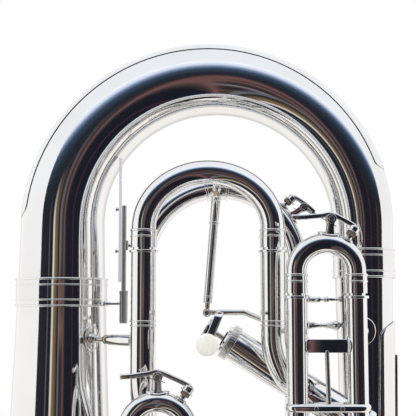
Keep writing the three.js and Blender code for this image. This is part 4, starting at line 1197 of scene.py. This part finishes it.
def drilled(made, tools):
    """Cuts straight holes, each given by its ends and radius, through a piece."""
    cutters = []
    for start, end, r in tools:
        cutter = plain_object("cutter", [rod(start, end, r, 48, 0)])
        cutters.append(cutter)
        modifier = made.modifiers.new("drill", "BOOLEAN")
        modifier.operation = "DIFFERENCE"
        modifier.solver = "EXACT"
        modifier.object = cutter
    graph = bpy.context.evaluated_depsgraph_get()
    mesh = bpy.data.meshes.new_from_object(made.evaluated_get(graph))
    made.modifiers.clear()
    made.data = mesh
    mesh.set_sharp_from_angle(angle=SHARP)
    for cutter in cutters:
        bpy.data.objects.remove(cutter)


def coped(shape, *names):
    """The shape with its end cut to the round of the named valves' casings."""
    made = plain_object("coped", [shape])
    casings = [VALVES[name] for name in names]
    drilled(made, [(start, start + axis * CASING_END, CASING_R + 0.05) for start, axis in casings])
    points = np.array([vertex.co for vertex in made.data.vertices]) / MM
    faces = [tuple(face.vertices) for face in made.data.polygons]
    bpy.data.objects.remove(made)
    return points, faces


def valve(name, start, axis, ports):
    end = CASING_END
    at = lambda t: start + axis * t
    casing_outline = softened([(0, CASING_BORE), (0, CASING_R), (end, CASING_R), (end, CASING_BORE)], 0.3)
    casing = silver(f"{name}_casing", [turned(straight(start, at(end)), casing_outline, 72)])
    tools = []
    for t, towards in ports:
        way = np.asarray(towards, float) - at(t)
        way = unit(way - (way @ axis) * axis)
        tools.append((at(t) + way * 9, at(t) + way * 24, 7.2))
    drilled(casing, tools)
    top = [
        (-5, 4.4), (-5, 12.6), (-3.6, 13.4), (-2.6, 14.2), (-2.2, CAP_R - 0.5), (-1.6, CAP_R), (5.0, CAP_R),
        (5.5, CAP_R - 0.6), (5.5, CASING_R + 0.4), (-0.4, CASING_R + 0.4), (-0.4, 4.4)
    ]
    low = 3.0
    silver(f"{name}_top_cap", [lathe(start, axis, top, 360, 0.25, knurl(low, low + 7))])
    bottom = [
        (-5, CASING_R + 0.4), (-5, CAP_R - 0.6), (-4.4, CAP_R), (1.2, CAP_R), (1.8, CAP_R - 0.6), (2.4, 15),
        (4.4, 12), (5.2, 7), (5.4, 3), (6, 2.4), (6, 0), (0.4, 0), (0.4, CASING_R + 0.4)
    ]
    silver(f"{name}_bottom_cap", [lathe(at(end), axis, bottom[::-1], 360, 0.25, knurl(0.5, 6.6))])
    body = f"{name}_valve"
    across = X_AXIS if abs(axis[2]) > 0.9 else Y_AXIS
    piston_outline = [
        (PISTON_START, 0), (PISTON_START, PISTON_R), (PISTON_END, PISTON_R), (PISTON_END, PISTON_BORE),
        (PISTON_START + 3, PISTON_BORE), (PISTON_START + 3, 0)
    ]
    piston = piece(
        f"{name}_piston_fine", [lathe(start, axis, piston_outline, 64, 0.3)], NICKEL, body, f"{name}_piston"
    )
    drilled(piston, [(at(t) - across * 20, at(t) + across * 20, 7) for t in (52, 78, 104)])
    stem = [
        (BUTTON_END + 3.6, 0), (BUTTON_END + 3.6, STEM_R - 0.5), (PISTON_START + 1, STEM_R - 0.5),
        (PISTON_START + 1, 0)
    ]
    piece(f"{name}_stem", [lathe(start, axis, stem, 24, 0.3)], NICKEL, body)
    cup = [
        (1.2, 0), (1.2, BUTTON_R - 1.6), (0.5, BUTTON_R - 1.2), (0.7, BUTTON_R - 0.3), (2, BUTTON_R),
        (4.2, BUTTON_R - 0.7), (BUTTON_DEPTH - 0.3, BUTTON_R - 3.4), (BUTTON_DEPTH, 4.4),
        (BUTTON_DEPTH, 3.2), (BUTTON_DEPTH + 6, 3.0), (BUTTON_DEPTH + 6, 0)
    ]
    piece(f"{name}_button_cup", [lathe(at(BUTTON_START), axis, cup, 56, 0.25)], SILVER, body)
    inlay = [(1.3, 0), (1.3, BUTTON_R - 1.7)]
    inlay += [(0.9 - 0.9 * t, (BUTTON_R - 1.7) * (1 - t**2)) for t in np.linspace(0, 1, 8)]
    piece(
        f"{name}_button_pearl", [lathe(at(BUTTON_START), axis, inlay, 56, 0)], PEARL, body, f"{name}_button"
    )
    felt = [(-5.9, 3.5), (-5.9, 7.4), (-5.02, 7.4), (-5.02, 3.5)]
    piece(f"{name}_felt", [lathe(start, axis, felt, 40, 0.3)], FELT)
    guide = [(PISTON_END - 6, 12.2), (PISTON_END - 6, 13.5), (PISTON_END - 2, 13.5), (PISTON_END - 2, 12.2)]
    piece(f"{name}_valve_guide", [lathe(start, axis, guide, 48, 0.3)], BRASS, body)
    coil = piece(
        f"{name}_spring_fine",
        [helix(at(PISTON_END + 0.6), axis, 10, end - PISTON_END - 1.2, 6.5, 0.75, 36, 10)], SPRING,
        replaced=f"{name}_spring"
    )
    anchor = at(end) * MM
    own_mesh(coil)


def valves():
    """Each valve's ports, as their places along the casing and the points that they face."""

    def beside(i, t):
        return VALVE_X[i], VALVE_Y, VALVE_Z + t

    third_back = (VALVE_X[2], -36, VALVE_Z + 20)
    ports = {
        "first": [
            (112, (FIRST.left, FIRST.y, VALVE_Z + 112)), (72, (FIRST.right, FIRST.y, VALVE_Z + 72)),
            (94, beside(1, 94)), (36, (0, -86, 376))
        ],
        "second": [
            (SECOND.low - VALVE_Z, (VALVE_X[1], SECOND.mouth, SECOND.low)),
            (SECOND.high - VALVE_Z, (VALVE_X[1], SECOND.mouth, SECOND.high)), (94, beside(0, 94)),
            (112, beside(2, 112))
        ],
        "third": [
            (20, third_back), (132, (THIRD.left, THIRD.y, VALVE_Z + 132)),
            (20, (THIRD.right, THIRD.y, VALVE_Z + 20)), (112, beside(1, 112)),
            (92, (200, VALVE_Y, VALVE_Z + 92))
        ],
        "fourth": [
            (75, (183, -44, MAIN_LOW_Z)), (82, (FOURTH.right + 6, FOURTH.y, 590)), (112, (212, -60, 470))
        ]
    }
    for name, (start, axis) in VALVES.items():
        valve(name, start, axis, ports[name])


def joining_tubes():
    for node, t, (left, right) in (
        ("knuckle_first_second", 94, (0, 1)), ("knuckle_second_third", 112, (1, 2))
    ):
        z = VALVE_Z + t
        start, end = vec(VALVE_X[left] + 13.9, VALVE_Y, z), vec(VALVE_X[right] - 13.9, VALVE_Y, z)
        total = end[0] - start[0]
        outer = [(0, 8.4), (2.2, 8.4), *bead(total / 2, 8.4, 0.8, 2.4), (total - 2.2, 8.4), (total, 8.4)]
        knuckle = tube(straight(start, end), outer, [(0, 7.4), (total, 7.4)], 48)
        silver(node, [coped(knuckle, "first", "second", "third")])
    start, axis = VALVES["fourth"]
    third = vec(VALVE_X[2], VALVE_Y, VALVE_Z + 92)
    route = bent(
        [third + X_AXIS * 13.6, (206, VALVE_Y, third[2]), (214, -58, 480), start + axis * 112], [22, 30]
    )
    route = shortened(route, INTO_CASING)
    total = route.total
    outer = [
        (0, 9.6), (12, 9.6), *bead(13, 9.6, 0.9, 2), (24, 10.1), *bead(25, 9.9, 0.9, 2), (26.2, 9.6),
        (total, 9.6)
    ]
    feed = tube(route, outer, [(0, 8.6), (total, 8.6)], 48)
    silver("fourth_valve_feed", [coped(feed, "third", "fourth")])
    z = MAIN_LOW_Z
    corners = [(MAIN.left, 0, MAIN.mouth), (MAIN.left, 0, z), (150, 0, z), (183, -44, z), start + axis * 75]
    main = outer_tube(shortened(bent(corners, [30, 20, 22]), INTO_CASING), MAIN.r, (96, 108), 56)
    silver("main_tube", [coped(main, "fourth")])


# ---- Mouthpipe and mouthpiece ----
RECEIVER_END = vec(-14, 124, 296)
MOUTH_AXIS = unit((0.35, 0.86, -0.37))


def on_mouth(t):
    return RECEIVER_END + MOUTH_AXIS * t


def mouthpipe():
    target = VALVES["first"][0] + Z_AXIS * 36
    route = curve_through(
        [
            on_mouth(-30), vec(-52, 72, 326), vec(-96, 50, 344), vec(-122, 4, 358), vec(-104, -48, 366),
            vec(-58, -82, 373), vec(0, -86, 376), target
        ],
        Z_AXIS, 14
    )
    route = shortened(route, INTO_CASING)
    total = route.total
    rings = [*bead(total - 30, 8.9, 0.9, 2.2), *bead(total - 16, 9.1, 0.9, 2.2)]
    pipe = tube(route, [(0, 6.6), *rings, (total, 9.2)], [(0, 5.6), (total, 8.2)], 48)
    receiver = [
        (-42, 7.6), *bead(-40.4, 8.1, 0.8, 2.4), *bead(-36.6, 8.2, 0.5, 1.5), (-12, 8.8), (-9, 10.2),
        *bead(-7, 10.3, 0.9, 2.2), (-5, 10.2), *bead(-1.4, 10.3, 1.0, 2.6), (0, 10.3), (0, 7.4), (-30, 7.2),
        (-30, 5.8), (-42, 5.8)
    ]
    silver("mouthpipe", [coped(pipe, "first"), lathe(RECEIVER_END, MOUTH_AXIS, receiver, 48, 0)])
    cup = [
        (0, 4.6), (0, 6), (26, 6.9), (27.2, 8.0), (29.4, 8.0), (30.6, 7.0), (38, 8.4), (46, 9.7), (50, 10.5),
        (56, 13.4), (64, 17), (72, 19), (78, 20), (81.5, 21.2), (84.5, 21.6), (87, 20.6), (88, 19),
        (87.4, 17.2), (84, 16.2), (76, 15), (66, 12.2), (60, 8.4), (56, 5.0), (52, 4.0), (46, 4.0)
    ]
    moved = [(s - MOUTHPIECE_IN, r) for s, r in cup]
    silver("mouthpiece", [lathe(RECEIVER_END, MOUTH_AXIS, moved, 96, 1.2)], "mouthpiece")


# ---- Braces, the slide's guide and the trigger ----
def braces():
    bell_foot = vec(BELL_X, 0, 610)
    leg = vec(FOURTH.left, FOURTH.y, 609)
    way = unit(leg - bell_foot)
    surface = bell_radius(610)
    total = np.linalg.norm(leg - bell_foot)
    end = total - FOURTH.r - 0.9
    outline = [
        (surface, 0), (surface, 5.2), (surface + 1.6, 5.2), (surface + 2.4, 4.4), (surface + 5.4, 4.4),
        (surface + 6.4, 2.3), (62, 2.1), (66, 2.1), (68, 3.2), (70, 4.9), (86, 5.3), (end - 1.6, 5.3),
        (end - 0.8, 6.4), (end, 6.4), (end, 0)
    ]
    foot = flange(bell_foot, Z_AXIS, way, surface, 26, 20, 1.0)
    silver("bell_brace", [lathe(bell_foot, way, outline, 40, 0.5), foot])
    piece("bell_brace_ball", [sphere(bell_foot + way * 65.6, 4.4, 36, 18)], BRASS)
    start = vec(BRANCH_X, 0, BRANCH_BRACE_Z)
    leg = vec(THIRD.right, THIRD.y, BRANCH_BRACE_Z)
    way = unit(leg - start)
    surface = branch_radius_at(BRANCH_BRACE_Z) + 1.9
    end = np.linalg.norm(leg - start) - THIRD.r - 0.7
    outline = [
        (surface, 0), (surface, 6), (surface + 3, 5.4), (surface + 5, 3.2), (surface + 9, 2.5),
        ((surface + end) / 2 - 3, 2.5), ((surface + end) / 2 - 2, 3.8), ((surface + end) / 2 + 2, 3.8),
        ((surface + end) / 2 + 3, 2.5), (end - 9, 2.5), (end - 5, 3.2), (end - 2, 5), (end, 5), (end, 0)
    ]
    feet = [
        flange(start, Z_AXIS, way, surface, 27, 25, 1.0),
        flange(leg, Z_AXIS, -way, THIRD.r + 0.2, 18, 14, 0.9)
    ]
    silver("branch_brace", [lathe(start, way, outline, 40, 0.6), *feet])


def guide():
    barrel = [
        (0, 1.4), (0, 3.5), (2.0, 3.9), (28, 3.9), (28.6, 4.2), (31, 4.2), (31.5, 3.8), (31.5, 2.6),
        (6, 2.6), (4.6, 1.4)
    ]
    foot = vec(GUIDE_X, GUIDE_Y, 624)
    piece("guide_barrel_fine", [lathe(foot, Z_AXIS, barrel, 40, 0.3)], SATIN, replaced="guide_barrel")
    arm_z = 643
    start = vec(GUIDE_X - 3.2, GUIDE_Y, arm_z)
    axis_point = vec(BELL_X, 0, arm_z)
    base = axis_point + unit(start - axis_point) * (bell_radius(arm_z - 3) + 2.6)
    length = np.linalg.norm(start - base)
    arm = lathe(
        base, start - base, [(0, 0), (0, 3.0), (1.0, 3.0), (1.8, 1.5), (length, 1.5), (length, 0)], 28, 0.4
    )
    piece("guide_arm", [arm], SILVER)


def connecting_rod():
    way = unit(LINK - BALL)
    total = np.linalg.norm(LINK - BALL)
    outline = [
        (9, 0), (9, 4.2), (9.8, 4.7), (12.6, 4.7), (13.0, 4.3), (13.6, 4.3), (14.0, 4.7), (33.4, 4.7),
        (33.8, 4.3), (34.4, 4.3), (34.8, 5.1), (36.5, 5.1), (37, 4.5), (total - 16.6, 4.5),
        (total - 16.2, 5.0), (total - 15.2, 5.0), (total - 14.8, 4.6), (total - 9.8, 4.6), (total - 9, 4.0),
        (total - 9, 0)
    ]
    eye = lathe(LINK - Y_AXIS * 1.7, Y_AXIS, [(0, 3.1), (0, 4.2), (3.4, 4.2), (3.4, 3.1)], 40, 0.5)
    silver("connecting_rod", [lathe(BALL, way, outline, 48, 0.25), eye], "connecting_rod")
    upper = [(4.2, 0), (4.2, 1.9), (5.6, 2.5), (8, 2.5), (9.2, 3.4), (9.2, 0)]
    lower = [(total - 9.2, 0), (total - 9.2, 2.4), (total - 4.2, 2.4), (total - 4.2, 0)]
    necks = [lathe(BALL, way, upper, 28, 0.3), lathe(BALL, way, lower, 28, 0.3)]
    piece("connecting_rod_necks", necks, BRASS, "connecting_rod")


def trigger():
    lever_y = LINK[1] + 6
    pivot_at = lambda y: vec(PIVOT[0], y, PIVOT[2])
    bend = vec(136, lever_y, LINK[2])
    arm_x = LINK[0] + 11
    arm_front = vec(arm_x, TOUCH[1] + 5, LINK[2])
    hub = lathe(
        pivot_at(-27), Y_AXIS,
        [(0, 2.35), (0, 5.4), (2.2, 5.4), (2.8, 4.4), (15, 4.4), (15.6, 5.4), (17.8, 5.4), (17.8, 2.35)], 40,
        0.4
    )
    lever_line = bent(
        [vec(PIVOT[0] - 4, lever_y, PIVOT[2] - 1), bend, vec(LINK[0] - 1, lever_y, LINK[2])], [14]
    )
    lever = swept(lever_line, rounded(6.0, 6.0, 2.8), 1.6, lambda t: 0.94 + 0.06 * sin(pi * t))
    boss = lathe(
        vec(LINK[0], lever_y + 3, LINK[2]), -Y_AXIS,
        [(0, 0), (0, 3.8), (2.4, 3.8), (3.0, 2.8), (5.6, 2.8), (5.6, 1.6), (12.5, 1.6), (12.5, 0)], 32, 0.4
    )
    arm = swept(straight(vec(arm_x, lever_y, LINK[2]), arm_front), rounded(4.2, 4.2, 1.9), 1.0)
    tip = vec(TOUCH[0], TOUCH[1] + 2.4, TOUCH[2])
    drop = bent([arm_front + Y_AXIS * 9, arm_front, tip], [4], X_AXIS)
    touch_arm = swept(drop, rounded(7.4, 2.4, 0.8), 0.8)
    saucer = lathe(
        TOUCH + Y_AXIS * 3, -Y_AXIS,
        [
            (0, 0), (0, TOUCH_R - 1.6), (0.8, TOUCH_R - 0.5), (2.4, TOUCH_R - 0.1), (2.9, TOUCH_R - 0.1),
            (2.9, 0)
        ],
        56, 0.25
    )
    silver("trigger_lever", [hub, lever, boss, arm, touch_arm, saucer], "trigger")
    pearl_outline = [(0.1, 0), (0.1, TOUCH_R - 0.2), (0.8, TOUCH_R - 0.1)]
    pearl_outline += [(0.8 + 2.8 * t, (TOUCH_R - 0.1) * sqrt(1 - t**2)) for t in np.linspace(0.1, 1, 12)]
    piece("touchpiece_fine", [lathe(TOUCH, -Y_AXIS, pearl_outline, 64, 0)], PEARL, "trigger", "touchpiece")
    pin_head = screw_head(LINK - Y_AXIS * 3.4, -Y_AXIS, 2.6, 1.3, unit((1, 0, 1)))
    piece("trigger_link_screw", pin_head, SILVER, "trigger")
    post = [
        rod(pivot_at(-28), pivot_at(-6), 2),
        brick(vec(PIVOT[0] - 5, -7.8, PIVOT[2] - 6), vec(MAIN.right - 11.6, -4.8, PIVOT[2] + 6), 0.8),
        flange(vec(MAIN.right, 0, PIVOT[2]), Z_AXIS, vec(-1, -0.55, 0), THIRD_START_R, 19, 13, 1.0)
    ]
    silver("trigger_post", post)
    cap = disc(pivot_at(-27.6), -Y_AXIS, 4.4, 1.6, 32, 0.5)
    piece("trigger_hinge_screw", [cap, *screw_head(pivot_at(-29), -Y_AXIS, 3.0, 1.0)], SATIN)
    coil = helix(pivot_at(-24), Y_AXIS, 5.3, 11, 8, 0.5, 28, 8)
    leg = rod(pivot_at(-13.4) + vec(0, 0, 5.3), pivot_at(-13.4) + vec(20, 4.4, 8), 0.5, 8, 0.1)
    piece("trigger_return_spring", [coil, leg], SPRING)


# ---- Surroundings ----
CARD_Y = -0.95
CARD_X = (-1.15, 2.5)
CARD_Z = (-2.2, 2.15)
FLOOR_RADIUS = 3.9
LAMP_PLACE = (-0.7, -0.9, 2.6)
LAMP_TARGET = (0, 0, 0.4)
LAMP_POWER = 18
LAMP_SIZE = 1.6


def srgb(red, green, blue):
    """A display colour from 0 to 255 as scene-linear values."""
    values = []
    for level in (red, green, blue):
        share = level / 255
        values.append(share / 12.92 if share <= 0.04045 else ((share + 0.055) / 1.055) ** 2.4)
    return tuple(values)


def shades(stops, share):
    return [(share(place), srgb(*colour)) for place, *colour in stops]


def painted_reflection_card():
    """A sheet in front of the instrument, seen only in its reflections, that glows with painted reflections:
    dark bands, brown and pale streaks, a sky gradient at the top and a pale spot.
    """
    mesh = bpy.data.meshes.new("painted_reflection_card")
    corners = [
        (CARD_X[0], CARD_Z[0]), (CARD_X[1], CARD_Z[0]), (CARD_X[1], CARD_Z[1]), (CARD_X[0], CARD_Z[1])
    ]
    mesh.from_pydata([(x, CARD_Y, z) for x, z in corners], [], [(0, 1, 2, 3)])
    card = linked("painted_reflection_card", mesh)
    for ray in ("camera", "diffuse", "shadow", "transmission", "volume_scatter"):
        setattr(card, f"visible_{ray}", False)
    material = bpy.data.materials.new("painted_reflection_card")
    nodes = Nodes(material)
    split = nodes.add("ShaderNodeSeparateXYZ", Vector=nodes.place)
    low, high = CARD_X
    across = nodes.math("DIVIDE", nodes.math("SUBTRACT", split.outputs["X"], low), high - low)

    def at(x):
        return (x - low) / (high - low)

    # Painted reflections across the sheet: dark bands with brown, tan and pale grey streaks.
    stops = [
        (-1.15, 40, 41, 48), (-0.62, 31, 33, 42), (-0.55, 31, 33, 42), (-0.51, 88, 91, 98),
        (-0.46, 32, 32, 36), (-0.34, 22, 26, 31), (-0.30, 205, 208, 210), (-0.26, 205, 200, 190),
        (-0.235, 122, 99, 68), (-0.15, 108, 86, 60), (-0.09, 56, 52, 50), (-0.05, 9, 12, 14),
        (-0.03, 96, 98, 104), (0.03, 102, 100, 104), (0.06, 66, 54, 54), (0.13, 70, 54, 50),
        (0.17, 112, 80, 78), (0.21, 58, 50, 52), (0.27, 25, 27, 36), (0.56, 25, 27, 36), (0.62, 66, 38, 54),
        (0.68, 25, 27, 36), (1.20, 25, 27, 36), (1.28, 92, 70, 66), (1.42, 34, 30, 38), (2.5, 46, 46, 56)
    ]
    sideways = nodes.ramp(across, shades(stops, at))
    height = nodes.math(
        "DIVIDE", nodes.math("SUBTRACT", split.outputs["Z"], CARD_Z[0]), CARD_Z[1] - CARD_Z[0]
    )

    def up(z):
        return (z - CARD_Z[0]) / (CARD_Z[1] - CARD_Z[0])

    # A painted sky reflection: dark blue fading to near white towards the top of the sheet.
    painted_sky_reflection = nodes.ramp(
        height,
        shades(
            [
                (0.87, 30, 30, 39), (1.09, 34, 40, 50), (1.33, 54, 70, 90), (1.50, 116, 134, 166),
                (1.66, 196, 206, 230), (1.95, 236, 240, 247)
            ],
            up
        )
    )
    painted_sky_mask = nodes.ramp(height, [(up(0.82), 0.0), (up(1.0), 1.0)], True)
    colour = nodes.mix(painted_sky_mask, sideways, painted_sky_reflection)
    # A painted reflection spot of pale and brown bands, in a narrow column near the sheet's middle.
    painted_reflection_spot = nodes.ramp(
        height,
        shades(
            [
                (0.02, 34, 34, 43), (0.30, 40, 36, 44), (0.38, 96, 92, 98), (0.43, 130, 127, 134),
                (0.47, 48, 42, 48), (0.61, 44, 38, 44), (0.65, 112, 85, 76), (0.68, 100, 76, 70),
                (0.72, 40, 35, 43)
            ],
            up
        )
    )
    over = nodes.ramp(height, [(up(0.0), 0.0), (up(0.12), 0.9), (up(0.70), 0.9), (up(0.80), 0.0)], True)
    beside = nodes.ramp(across, [(at(-0.02), 0.0), (at(0.04), 1.0), (at(0.12), 1.0), (at(0.18), 0.0)], True)
    colour = nodes.mix(nodes.math("MULTIPLY", over, beside), colour, painted_reflection_spot)
    # The sheet glows with these painted reflection colours, though it is no lamp.
    glow = nodes.add("ShaderNodeEmission", Color=colour, Strength=1.25)
    nodes.show(glow)
    mesh.materials.append(material)


def floor():
    """A pale round floor that fades into the white around it."""
    radius, rings, sides = FLOOR_RADIUS, 40, 128
    mesh = bpy.data.meshes.new("floor")
    grid = [[(r * cos(a), r * sin(a), 0) for a in circle(sides)] for r in np.linspace(0.01, radius, rings)]
    points, faces = lattice(np.array(grid), ends=False)
    points = [tuple(p) for p in points] + [(0, 0, 0)]
    faces = faces + [((j + 1) % sides, j, len(points) - 1) for j in range(sides)]
    mesh.from_pydata(points, [], faces)
    ground = linked("floor", mesh)
    ground.location = (cad_box[0][0] / 2 + cad_box[1][0] / 2, 0, cad_box[0][2] - 0.0002)
    ground.visible_glossy = False
    ground.visible_diffuse = False
    material = bpy.data.materials.new("pale_floor")
    nodes = Nodes(material)
    length = nodes.add("ShaderNodeVectorMath", operation="LENGTH")
    nodes.put(length.inputs[0], nodes.place)
    share = nodes.ramp(
        nodes.math("DIVIDE", length.outputs["Value"], radius), [(0.14, 0.0), (0.42, 1.0)], True
    )
    plain = nodes.add("ShaderNodeBsdfDiffuse", Color=(0.86, 0.86, 0.86, 1))
    white = nodes.add("ShaderNodeEmission", Color=(1, 1, 1, 1), Strength=1.0)
    blended = nodes.add("ShaderNodeMixShader")
    nodes.put(blended.inputs[0], share)
    nodes.put(blended.inputs[1], plain.outputs[0])
    nodes.put(blended.inputs[2], white.outputs[0])
    nodes.show(blended)
    mesh.materials.append(material)


def surroundings():
    world = bpy.data.worlds.new("white_room")
    bpy.context.scene.world = world
    nodes = Nodes(world, "Generated")
    split = nodes.add("ShaderNodeSeparateXYZ", Vector=nodes.place)
    height = nodes.math("MULTIPLY_ADD", split.outputs["Z"], 0.5, 0.5)
    room = nodes.ramp(
        height,
        [
            (0.0, (0.95, 0.92, 0.88)), (0.3, (0.98, 0.96, 0.93)), (0.5, (1, 1, 1)),
            (0.72, (0.95, 0.97, 1.0)), (1.0, (0.9, 0.94, 1.0))
        ]
    )
    behind = nodes.ramp(split.outputs["Y"], [(0.75, 1.0), (0.97, 0.72)], True)
    room = nodes.mix(1.0, room, behind, "MULTIPLY")
    room = nodes.mix(1.0, room, (1.07, 1.06, 1.05), "MULTIPLY")
    seen = nodes.add("ShaderNodeLightPath").outputs["Is Camera Ray"]
    colour = nodes.mix(seen, room, (1.0, 1.0, 1.0))
    background = nodes.add("ShaderNodeBackground", Color=colour, Strength=1.0)
    nodes.show(background, "World")
    light = bpy.data.lights.new("overhead", "AREA")
    light.energy = LAMP_POWER
    light.size = LAMP_SIZE
    lamp = linked("overhead", light)
    lamp.location = LAMP_PLACE
    lamp.rotation_euler = (Vector(LAMP_TARGET) - lamp.location).to_track_quat("-Z", "Y").to_euler()
    lamp.visible_glossy = False
    painted_reflection_card()
    floor()


# ---- The instrument ----
bell()
bottom_bow()
bow_guard()
silver("bell_ferrule", [ferrule(upright(BELL_X, 0, *BELL_FERRULE), bell_radius(BELL_FERRULE[0]), 128)])
silver("branch_ferrule", [ferrule(upright(BRANCH_X, 0, *BRANCH_FERRULE), BOW_END_R + 0.5)])
branch()
branch_guard()
third_branch()
top_bow()
main_slide()
fourth_slide()
third_slide()
first_slide()
second_slide()
water_key("main_water_key", MAIN_KEY)
water_key("third_water_key", THIRD_KEY)
water_key("first_water_key", FIRST_KEY)
valves()
joining_tubes()
mouthpipe()
braces()
guide()
connecting_rod()
trigger()
surroundings()
